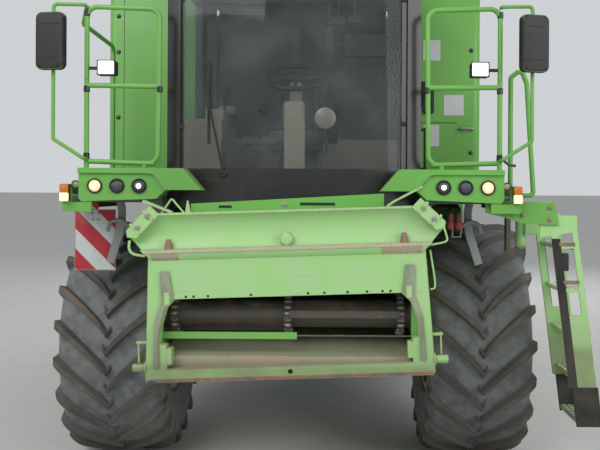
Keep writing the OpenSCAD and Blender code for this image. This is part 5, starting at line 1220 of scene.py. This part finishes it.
def puffed(name, shape, key, cap, body, slot):
    """A stuffed piece: its block is remeshed, blown up as cloth, kept within cap of where it started,
    and rounded once more."""
    obj = piece(name, shape, finish[key], body, slot, 60)
    mesh = obj.data
    remesh = obj.modifiers.new("grid", "REMESH")
    remesh.mode = "VOXEL"
    remesh.voxel_size = 0.006
    bpy.context.view_layer.update()
    whole = bpy.data.meshes.new_from_object(obj.evaluated_get(bpy.context.evaluated_depsgraph_get()))
    obj.modifiers.clear()
    obj.data = whole
    start = np.empty(len(whole.vertices) * 3)
    whole.vertices.foreach_get("co", start)
    cloth = obj.modifiers.new("cloth", "CLOTH")
    cloth.settings.use_pressure = True
    cloth.settings.uniform_pressure_force = 4.0
    cloth.settings.effector_weights.gravity = 0.0
    cloth.point_cache.frame_end = 20
    for frame_number in range(1, 21):
        bpy.context.scene.frame_set(frame_number)
    blown = bpy.data.meshes.new_from_object(obj.evaluated_get(bpy.context.evaluated_depsgraph_get()))
    end = np.empty(len(start))
    blown.vertices.foreach_get("co", end)
    step = (end - start).reshape(-1, 3)
    far = np.linalg.norm(step, axis=1)[:, None]
    share = np.minimum(1, cap / np.maximum(far, 1e-9))
    whole.vertices.foreach_set("co", (start.reshape(-1, 3) + step * share).ravel())
    obj.modifiers.clear()
    bpy.context.scene.frame_set(1)
    bpy.data.meshes.remove(blown)
    bpy.data.meshes.remove(mesh)
    whole.materials.clear()
    whole.materials.append(finish[key])
    whole.name = name
    whole.shade_smooth()
    return obj


class HARVESTER_OT_seat(bpy.types.Operator):
    """Makes the driver's seat: stuffed cushion, back and arm rests on a sprung pedestal"""
    bl_idname = "harvester.seat"
    bl_label = "Driver's seat"

    def execute(self, context):
        f = Finish("seat cloth", {"Roughness": 0.9, "Sheen Weight": 0.25})
        weave = f.cells(700.0, (1.0, 1.0, 0.6))
        stripe = ((f.x - float(MID[0])) * 60.0).math("SINE", (f.x - float(MID[0])) * 60.0).step(0.80, 0.95)
        f.feed("Base Color", f.mix(f.noise(14.0, 4.0).step(0.4, 0.8) * 0.25,
                                   f.mix(stripe * 0.6, (0.030, 0.032, 0.035), (0.075, 0.080, 0.085)), DUST))
        f.bump(weave + stripe * 0.5, 0.0008)
        finish["cloth"] = f.mat
        z = 2.1105
        cushion = puffed("seat_cushion", pillow((0.470, 0.490, 0.105), 0.040, at(0, -0.480, z + 0.385), 4),
                         "cloth",
                         0.016, "machine", "seat_fabric")
        back = turned(pillow((0.450, 0.095, 0.530), 0.040, at(0, -0.225, z + 0.690), 4), (1, 0, 0), -10,
                      at(0, -0.230, z + 0.420))
        back = puffed("seat_back", back, "cloth", 0.014, "machine", "seat_fabric")
        arms = both(pillow((0.066, 0.314, 0.056), 0.022, at(0.285, -0.450, z + 0.630), 4))
        pads = piece("seat_arm_rests", arms, finish["black"], "machine", "trim_black")
        bellows = [(0.150 + 0.012 * (k % 2), 0.045 + 0.026 * k) for k in range(11)]
        foot = [lathe(bellows, "z", at(0, -0.470, z), 28),
                cube((-0.20, 0.20), (-0.68, -0.28), (z, z + 0.046), 0.012),
                cube((-0.22, 0.22), (-0.70, -0.25), (z + 0.306, z + 0.330), 0.008)]
        shell = [turned(cube((-0.215, 0.215), (-0.182, -0.168), (z + 0.440, z + 0.930), 0.006), (1, 0, 0),
                        -10,
                        at(0, -0.230, z + 0.420)),
                 both(cube((0.270, 0.300), (-0.345, -0.300), (z + 0.380, z + 0.612), 0.006)),
                 both(cube((0.215, 0.290), (-0.345, -0.300), (z + 0.380, z + 0.410), 0.004))]
        base = piece("seat_base", joined(foot + shell), finish["black"], "machine", "trim_black")
        for obj in (cushion, back, pads, base):
            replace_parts(obj, "driver_seat")
        return {"FINISHED"}


class HARVESTER_OT_cab(bpy.types.Operator):
    """Furnishes the cab: wheel, pedals, screens, console, mat, linings, wiper and window fixings"""
    bl_idname = "harvester.cab"
    bl_label = "Cab"

    def execute(self, context):
        hub = at(0, -0.930, 2.930)

        def on_wheel(shape):
            return turned(shape, (1, 0, 0), 30, hub)
        rim = tube(hub + np.column_stack([ring(0.215, 48), np.zeros(48)]), 0.0185, 12, (0, 0, 1), True)
        spokes = [rod(hub, hub + np.append(ring(0.212, 1, math.radians(a))[0], 0), 0.0125)
                  for a in (30, 150, 270)]
        wheel = [rim, pillow((0.140, 0.140, 0.056), 0.024, hub, 4)] + spokes
        pads = [turned(cube((x, x + 0.115), (-1.120, -1.104), (2.430, 2.492), 0.006), (1, 0, 0), -12,
                       at(x, -1.11, 2.46))
                for x in (-0.365, -0.238)]
        stems = [wire([(x, -1.104, 2.46), (x, -1.080, 2.40), (-0.04, -1.070, 2.36)], 0.010, 10)
                 for x in (-0.31, -0.18)]
        screen = [cube((0.345, 0.640), (-1.060, -1.030), (3.055, 3.225), 0.010),
                  cube((0.215, 0.262), (-1.050, -1.020), (2.985, 3.275), 0.006),
                  wire([(0.262, -1.035, 3.14), (0.345, -1.045, 3.14)], 0.012),
                  wire([(0.238, -1.035, 3.27), (0.238, -1.035, 3.695)], 0.012),
                  cube((0.255, 0.350), (-1.085, -1.060), (3.275, 3.335), 0.006),
                  cube((0.368, 0.450), (-1.085, -1.060), (3.285, 3.345), 0.006),
                  wire([(0.300, -1.065, 3.33), (0.300, -1.050, 3.695)], 0.008),
                  wire([(0.410, -1.065, 3.34), (0.410, -1.050, 3.695)], 0.008),
                  cube((-0.030, 0.032), (-1.158, -1.150), (2.985, 3.240), 0.003),
                  wire([(0.150, -1.090, 2.118), (0.205, -1.085, 2.40), (0.212, -1.080, 2.560)], 0.014, 12)]
        lever = [wire([(-0.560, -0.600, 2.700), (-0.560, -0.620, 2.800)], 0.014),
                 pillow((0.052, 0.066, 0.110), 0.024, at(-0.560, -0.625, 2.850), 4)]
        keys = [cube((x, x + 0.016), (y, y + 0.016), (2.7095, 2.7145), 0.002)
                for x in (-0.640, -0.612, -0.584) for y in np.arange(-0.790, -0.680, 0.028)]
        piece("cab_fittings", joined([on_wheel(joined(wheel))] + pads + stems + screen + lever + keys),
              finish["black"],
              "machine", "trim_black")
        mat = cube((-0.790, 0.790), (-1.090, -0.015), (2.1102, 2.1165))
        piece("floor_mat", mat, finish["seal"], "machine", "trim_black")
        lining = [cube((-0.800, 0.800), (-1.180, -0.015), (3.672, 3.696), 0.004),
                  cube((-0.800, 0.800), (-0.022, -0.0105), (2.118, 2.538)),
                  cube((-0.809, -0.797), (-1.080, -0.030), (2.118, 2.188), 0.002),
                  pillow((0.130, 0.260, 0.070), 0.020, at(-0.560, -0.330, 2.735), 4),
                  pillow((0.150, 0.110, 0.200), 0.030, at(-0.005, -1.085, 2.640), 4)]
        piece("cab_linings", joined(lining), finish["beige"], "machine", "cab_plastic")
        disc = lathe([(0.066, 0.010), (0.076, 0.004), (0.074, -0.006), (0.060, -0.012), (0, -0.014)], "y",
                     at(0.212, -1.088, 2.622), 28)
        piece("cab_disc", disc, finish["zinc"], "machine", "worn_steel")

        def on_glass(x, out=0.0):
            return -1.350 + 2.600 - math.sqrt((2.580 + out) ** 2 - x * x)
        x = np.linspace(-0.775, 0.775, 25)
        strip = np.stack([[at(a, on_glass(a, 0.002 + d), h) for d, h in
                           ((0, 2.191), (0, 2.262), (0.004, 2.262), (0.004, 2.191))] for a in x])
        edge = [np.stack([[at(a + d, on_glass(a + d, 0.002 + e), h)
                           for d, e in ((0, 0), (w, 0), (w, 0.004), (0, 0.004))]
                          for h in (2.262, 3.618)]) for a, w in ((-0.775, 0.022), (0.735, 0.040))]
        piece("screen_bands", joined([skin(strip)] + [skin(e) for e in edge]), finish["satin"], "machine",
              "trim_black")
        buttons = [lathe([(0.017, 0), (0.017, -0.006), (0.012, -0.010), (0, -0.010)], "y",
                         at(a, on_glass(a, 0.006), h), 16)
                   for a, h in ((-0.764, 2.546), (0.752, 2.573), (-0.764, 3.42), (0.752, 3.42))]
        piece("screen_fixings", joined(buttons), finish["black"], "machine", "trim_black")
        blade = [(-0.574, on_glass(-0.574, 0.014), h) for h in (2.430, 2.985)]
        arm = [(-0.470, on_glass(-0.470, 0.026), 2.225), (-0.520, on_glass(-0.520, 0.036), 2.480),
               (-0.572, on_glass(-0.572, 0.028), 2.700)]
        pivot = lathe([(0.026, 0.020), (0.026, -0.018), (0.018, -0.026)], "y",
                      at(-0.470, on_glass(-0.470), 2.225), 18)
        piece("wiper", joined([wire(blade, 0.009, 24), wire(arm, 0.008, 16), pivot]), finish["seal"],
              "machine", "trim_black")
        return {"FINISHED"}


class HARVESTER_OT_front(bpy.types.Operator):
    """Adds the panels beside the cab with their plates, boxes and hooks, and the platforms' treads"""
    bl_idname = "harvester.front"
    bl_label = "Front panels and platforms"

    def execute(self, context):
        y = 0.060
        sheets = []
        for s, wide in ((1, 1.500), (-1, 1.630)):
            bend = [(wide - 0.060 + 0.060 * math.sin(a), y + 0.060 - 0.060 * math.cos(a))
                    for a in np.linspace(0, math.pi / 2, 8)]
            sheet = prism([(0.8505, y), *bend, (wide, 0.1197), (0.8505, 0.1197)], 2.090, 3.780, "z", 0.003)
            sheet = move(sheet, MID)
            sheets.append(sheet if s > 0 else mirrored(sheet))
        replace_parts(piece("front_sheets", joined(sheets), finish["body"], "machine", "body_green", 40),
                    "front_panels")
        blind = cube((-0.700, 0.700), (0.0525, 0.0580), (2.500, 3.660))
        piece("rear_blind", blind, finish["satin"], "machine", "trim_black")
        white = paint("white plate enamel", (0.62, 0.64, 0.64), 0.35, 0.1, 0.4)
        plates = [((1.014, 1.158), (3.212, 3.385)), ((1.188, 1.356), (2.752, 2.924)),
                  ((1.020, 1.152), (2.492, 2.672))]
        piece("blank_plates", joined(cube(x, (y - 0.004, y + 0.001), z, 0.001) for x, z in plates), white,
              "machine", "body_green")
        boxes = [((0.888, 0.970), 0.062, (2.742, 2.970)), ((1.020, 1.102), 0.048, (2.768, 2.968)),
                 ((0.888, 0.972), 0.070, (3.222, 3.380))]
        piece("front_boxes", joined(cube(x, (y - d, y + 0.002), z, 0.008) for x, d, z in boxes),
              finish["black"],
              "machine", "trim_black")
        light = [cube((0.872, 0.906), (y - 0.050, y + 0.002), (3.196, 3.296), 0.006),
                 wire([(1.332, y, 2.634), (1.332, y - 0.030, 2.640), (1.425, y - 0.030, 2.640),
                       (1.425, y, 2.634)], 0.012, 18),
                 wire([(0.885, y - 0.030, 2.632), (0.912, y - 0.034, 2.290)], 0.011)]
        piece("front_handles", joined(light), finish["zinc"], "machine", "worn_steel")
        hooks = [wire([(0.890, y, 3.200), (0.890, y - 0.030, 3.185), (0.890, y - 0.034, 3.110),
                       (0.915, y - 0.034, 3.090)],
                      0.007, 16), cube((0.846, 0.904), (y - 0.040, y + 0.002), (2.640, 2.730), 0.006)]
        piece("front_hooks", joined(hooks), finish["satin"], "machine", "trim_black")
        spots = [(-1.545, z) for z in (3.57, 3.27, 2.72, 2.20)]
        spots += [(1.420, 3.30), (1.420, 2.44), (1.420, 2.18), (0.990, 2.20)]
        piece("front_bolts", joined(cap(x, y, z, 0.019, 0.010) for x, z in spots), finish["satin"],
              "machine", "trim_black")
        seams = [cube((0.880, 1.300), (y - 0.0015, y + 0.001), (2.687, 2.693)),
                 cube((-1.500, -1.496), (y - 0.0015, y + 0.001), (2.100, 3.770))]
        piece("front_seams", joined(seams), finish["black"], "machine", "trim_black")
        bars = [cube((x, x + 0.006), (-1.325, 0.050), (2.0702, 2.0790))
                for x in np.arange(0.900, 1.500, 0.034)]
        cross = [cube((0.895, 1.500), (v, v + 0.006), (2.0702, 2.0775))
                 for v in np.arange(-1.325, 0.05, 0.1145)]
        teeth = cube((-0.010, 0.010), (-0.002, 0.002), (0, 0.0045))
        studs = repeated(move(teeth, -MID),
                         [at(u + 0.003, v, 2.0788) for u in np.arange(0.900, 1.500, 0.034)
                                             for v in np.arange(-1.30, 0.04, 0.057)])
        piece("platform_grating", both(joined(bars + cross)), finish["zinc"], "machine", "worn_steel", 0)
        piece("platform_teeth", both(studs), finish["zinc"], "machine", "worn_steel", 0)
        skirt = [cube((0.880, 1.540), (-1.3445, -1.3395), (2.030, 2.071))]
        piece("platform_edges", both(joined(skirt)), finish["frame"], "machine", "frame_grey")
        stay = wire([(1.390, -1.310, 2.350), (1.450, -1.310, 2.300), (1.500, -1.290, 2.290)], 0.010, 12)
        piece("rail_stays", stay, finish["satin"], "machine", "trim_black")
        work = [cap(s * x, -1.310 - 0.0165, z, 0.008, 0.007, 10) for s in BOTH
                for x, z in ((1.39, 2.20), (1.00, 2.25), (1.39, 2.86))]
        piece("rail_bolts", joined(work), finish["zinc"], "machine", "worn_steel")
        return {"FINISHED"}


class HARVESTER_OT_sides(bpy.types.Operator):
    """Adds swages, locks and seals to the side doors, and ribs, louvres and rings above them"""
    bl_idname = "harvester.sides"
    bl_label = "Sides"

    def execute(self, context):
        swages = [slab(at(1.498, 1.040, z), at(1.507, 2.830 if z > 1.4 else 2.560, z + 0.034), 0.005)
                  for z in (1.160, 1.480, 1.800, 2.120, 2.420)]
        swages += [slab(at(1.498, y, 1.200), at(1.507, y + 0.034, 2.430), 0.005) for y in (1.040, 1.930)]
        locks = [pillow((0.022, 0.170, 0.075), 0.009, at(1.506, y, 1.335), 4) for y in (1.300, 2.300)]
        catches = [bolt(0.013, 0.014, "x", at(1.503, y, z)) for y in (1.120, 2.740) for z in (1.640, 2.280)]
        seal = [cube((1.462, 1.466), (1.020, 2.850), (2.455, 2.485)),
                cube((1.462, 1.466), (1.020, 2.600), (1.075, 1.100))]
        for side, s in (("left", 1), ("right", -1)):
            for name, shape, key, slot in (("swages", swages, "side", "body_green"),
                                           ("locks", locks, "black", "trim_black"),
                                           ("catches", catches, "zinc", "worn_steel"),
                                           ("seals", seal, "seal", "trim_black")):
                one = joined(shape)
                piece(f"side_door_{name}_{side}", one if s > 0 else mirrored(one), finish[key],
                      f"side_door_{side}", slot)
        a = np.radians(np.linspace(79, 120, 16))
        arch = np.column_stack([np.full(16, 1.490), 3.750 + 0.846 * np.cos(a), 0.655 + 0.846 * np.sin(a)])
        lip = sweep(arch + MID, round_rect(0.016, 0.050, 0.006, 2), (1, 0, 0))
        piece("arch_lips", both(lip), finish["seal"], "machine", "trim_black")
        spots = ((2.930, 2.500), (2.930, 1.950), (2.930, 1.430),
                 (3.860, 2.500), (3.860, 1.950), (3.400, 2.500))
        bolts = [bolt(0.011, 0.010, "x", at(1.5, y, z)) for y, z in spots]
        piece("rear_panel_bolts", both(joined(bolts)), finish["zinc"], "machine", "worn_steel")
        ribs = [slab(at(1.148, y, 2.920), at(1.172, y + 0.050, 3.460), 0.008)
                for y in np.arange(0.300, 2.150, 0.370)]
        ribs += [slab(at(1.498, y, 2.600), at(1.512, y + 0.050, 2.850), 0.006)
                 for y in np.arange(0.300, 2.150, 0.370)]
        high = [slab(at(-1.512, y, 2.600), at(-1.498, y + 0.050, 3.170), 0.006)
                for y in np.arange(0.300, 2.150, 0.370)]
        piece("tank_ribs", joined(ribs + high), finish["side"], "machine", "body_green")
        slats = [turned(slab(at(1.140, 2.600, z), at(1.168, 3.500, z + 0.030), 0.003), (0, 1, 0), 24,
                        at(1.152, 0, z))
                 for z in np.arange(2.960, 3.370, 0.052)]
        frame_bars = [slab(at(1.146, 2.570, z), at(1.170, 3.530, z + 0.024), 0.004) for z in (2.925, 3.395)]
        frame_bars += [slab(at(1.146, y, 2.925), at(1.170, y + 0.026, 3.419), 0.004)
                       for y in (2.570, 3.504)]
        piece("bay_louvres", joined(slats + frame_bars), finish["black"], "machine", "trim_black")
        middle = joint_at["air_screen_spin"]
        hoop = lathe([(0.405, -0.006), (0.424, -0.004), (0.424, 0.018), (0.405, 0.022)], "x",
                     middle - [0.040, 0, 0], 48)
        boss = lathe([(0.068, 0.0), (0.068, -0.016), (0.040, -0.026), (0.0, -0.028)], "x",
                     middle - [0.058, 0, 0], 24)
        piece("screen_hoop", joined([hoop, boss]), finish["black"], "air_screen", "trim_black")
        bands = [lathe([(0.164, -0.030), (0.178, -0.024), (0.178, 0.024), (0.164, 0.030)], "y",
                       at(1.350, y, 3.270), 40)
                 for y in (0.720, 3.050, 5.200)]
        bands.append(lathe([(0.164, -0.012), (0.190, -0.010), (0.190, 0.010), (0.164, 0.012)], "z",
                           at(1.350, 0.430, 3.030), 40))
        nuts = around(bolt(0.010, 0.014, "z", at(1.350 + 0.178, 0.430, 3.040)), 12, (0, 0, 1),
                      at(1.350, 0.430, 0))
        piece("auger_bands", joined(bands + [nuts]), finish["body"], "auger_tube", "body_green")
        spout = lathe([(0.150, -0.160), (0.172, -0.160), (0.177, -0.060), (0.177, -0.004), (0.158, -0.004)],
                      "y",
                      at(1.350, 5.430, 3.270), 40)
        piece("auger_spout", spout, finish["seal"], "auger_tube", "trim_black")
        return {"FINISHED"}


class HARVESTER_OT_rear(bpy.types.Operator):
    """Adds the hood's swages and flap, the blank rear plate, reflectors, exhaust sleeve and roof lamps"""
    bl_idname = "harvester.rear"
    bl_label = "Rear and roof"

    def execute(self, context):
        ribs = [slab(at(1.348, 4.000, z), at(1.359, y, z + 0.040), 0.006)
                for z, y in ((1.700, 5.780), (2.080, 5.860), (2.460, 5.640))]
        ribs += [slab(at(1.348, y, 1.560), at(1.357, y + 0.040, 2.700), 0.005)
                 for y in (4.000, 4.700, 5.400)]
        piece("hood_swages", both(joined(ribs)), finish["side"], "machine", "body_green")
        seam = slab(at(-1.290, 5.9795, 1.930), at(1.290, 5.9835, 1.938))
        handle = wire([(-0.180, 5.980, 2.050), (-0.180, 6.020, 2.050), (0.180, 6.020, 2.050),
                       (0.180, 5.980, 2.050)], 0.012, 22)
        piece("hood_handle", joined([seam, handle]), finish["black"], "machine", "trim_black")
        plate = joined([slab(at(0.300, 5.9795, 2.180), at(0.820, 5.9850, 2.290), 0.001)])
        piece("blank_rear_plate", plate, paint("blank plate enamel", (0.62, 0.64, 0.64), 0.4, 0.1, 0.4),
              "machine", "body_green")
        round_lens = lathe([(0.040, -0.002), (0.040, 0.006), (0.034, 0.011), (0, 0.012)], "y",
                           at(1.270, 5.980, 1.780), 28)
        piece("rear_reflectors", both(round_lens), finish["red"], "machine", "lamp_glass")
        stack = at(0.700, 3.170, 3.440)
        sleeve = lathe([(0.072, 0.034), (0.086, 0.036), (0.086, 0.236), (0.072, 0.240)], "z", stack, 40)
        slots = [lathe([(0.0862, z), (0.0875, z + 0.002), (0.0875, z + 0.010), (0.0862, z + 0.012)], "z",
                       stack, 40)
                 for z in np.arange(0.050, 0.225, 0.024)]
        clamp = lathe([(0.071, 0.250), (0.080, 0.252), (0.080, 0.270), (0.071, 0.272)], "z", stack, 32)
        piece("exhaust_sleeve", joined([sleeve, clamp] + slots), finish["steel"], "machine", "worn_steel")
        bowl = at(-0.700, 2.770, 3.440)
        rings = [lathe([(0.128 + k * 0.0048, z), (0.136 + k * 0.0048, z + 0.006),
                        (0.128 + k * 0.0048, z + 0.012)], "z", bowl, 36)
                 for k, z in enumerate((0.200, 0.240, 0.280, 0.320))]
        piece("cleaner_rings", joined(rings), finish["black"], "machine", "trim_black")
        holders, lenses = [], []
        for x in (0.250, 0.480):
            y = -1.440 + x * x / 5.2
            holders.append(lathe([(0.058, 0.020), (0.061, 0.0), (0.061, -0.024), (0.052, -0.026)], "y",
                                 at(x, y, 3.755), 28))
            lenses.append(lathe([(0.053, -0.016), (0.050, -0.025), (0.030, -0.031), (0, -0.033)], "y",
                                at(x, y, 3.755), 28))
        piece("roof_lamp_rims", both(joined(holders)), finish["black"], "machine", "trim_black")
        piece("roof_lamp_lenses", both(joined(lenses)), finish["lamp"], "machine", "lamp_glass")
        drip = [cube((-0.890, 0.890), (0.022, 0.072), (3.7005, 3.712), 0.003)]
        piece("roof_drip", joined(drip), finish["seal"], "machine", "trim_black")
        hinges = [lathe([(0.017, -0.060), (0.019, -0.056), (0.019, 0.056), (0.017, 0.060)], "z",
                        at(0.882, -0.154, z), 14)
                  for z in (2.383, 3.385)]
        piece("door_hinge_sleeves", joined(hinges), finish["black"], "cab_door", "trim_black")
        flap = cube((-0.780, 0.780), (5.470, 5.476), (1.340, 1.482))
        piece("chopper_flap", flap, finish["seal"], "machine", "trim_black")
        return {"FINISHED"}


class HARVESTER_OT_wheels(bpy.types.Operator):
    """Adds the wheels' nuts, hub covers and valves, and the bolts of the final drives"""
    bl_idname = "harvester.wheels"
    bl_label = "Wheels"

    def execute(self, context):
        sizes = {"front": (0.925, 0.0, 1.506, 0.200, 12, 0.108, 1.5405, 0.392),
                 "rear": (0.655, 3.750, 1.326, 0.130, 10, 0.068, 1.3555, 0.284)}
        for end, (z, y, face, nuts_r, count, hub_r, hub_x, valve_r) in sizes.items():
            nuts = around(bolt(0.016, 0.026, "x", at(face, y + nuts_r, z)), count, (1, 0, 0),
                          at(face, y, z))
            cover = lathe([(hub_r, -0.004), (hub_r, 0.010), (hub_r * 0.8, 0.022), (hub_r * 0.3, 0.026),
                           (0, 0.026)], "x",
                          at(hub_x, y, z), 32)
            screws = around(bolt(0.008, 0.010, "x", at(hub_x + 0.009, y + hub_r * 0.86, z)), 8, (1, 0, 0),
                            at(0, y, z))
            valve = rod(at(face - 0.040, y, z + valve_r), at(face + 0.012, y, z + valve_r - 0.030), 0.006)
            for side, s in (("left", 1), ("right", -1)):
                for name, shape, key, slot in (("nuts", joined([nuts, screws]), "zinc", "worn_steel"),
                                               ("cover", cover, "rim", "rim_paint"),
                                               ("valve", valve, "zinc", "worn_steel")):
                    piece(f"{end}_wheel_{name}_{side}", shape if s > 0 else mirrored(shape), finish[key],
                          f"{end}_wheel_{side}", slot)
        drive = around(bolt(0.012, 0.014, "x", at(1.180, 0.225, 0.925)), 16, (1, 0, 0), at(0, 0, 0.925))
        piece("final_drive_bolts", both(drive), finish["zinc"], "machine", "worn_steel")
        return {"FINISHED"}


STEPS = (HARVESTER_OT_finishes, HARVESTER_OT_tyres, HARVESTER_OT_header_frame, HARVESTER_OT_feeder,
         HARVESTER_OT_lamps, HARVESTER_OT_mirrors, HARVESTER_OT_ladder, HARVESTER_OT_couplings,
         HARVESTER_OT_seat, HARVESTER_OT_cab, HARVESTER_OT_front, HARVESTER_OT_sides, HARVESTER_OT_rear,
         HARVESTER_OT_wheels, HARVESTER_OT_stage)


class HARVESTER_PT_panel(bpy.types.Panel):
    """Sizes, colours and steps of the harvester's finish"""
    bl_idname = "HARVESTER_PT_panel"
    bl_label = "Harvester"
    bl_space_type = "VIEW_3D"
    bl_region_type = "UI"
    bl_category = "Harvester"

    def draw(self, context):
        layout = self.layout
        for group in (context.scene.harvester_sizes, context.scene.harvester_colours):
            box = layout.box()
            for key in group.__annotations__:
                box.prop(group, key)
        for step in STEPS:
            layout.operator(step.bl_idname)


CLASSES = (HarvesterColours, HarvesterSizes, *STEPS, HARVESTER_PT_panel)


def register():
    for kind in CLASSES:
        bpy.utils.register_class(kind)
    bpy.types.Scene.harvester_colours = PointerProperty(type=HarvesterColours)
    bpy.types.Scene.harvester_sizes = PointerProperty(type=HarvesterSizes)


def unregister():
    del bpy.types.Scene.harvester_sizes
    del bpy.types.Scene.harvester_colours
    for kind in reversed(CLASSES):
        bpy.utils.unregister_class(kind)


def main():
    register()
    for step in STEPS:
        getattr(bpy.ops.harvester, step.bl_idname.split(".")[1])()


if __name__ == "__main__":
    main()
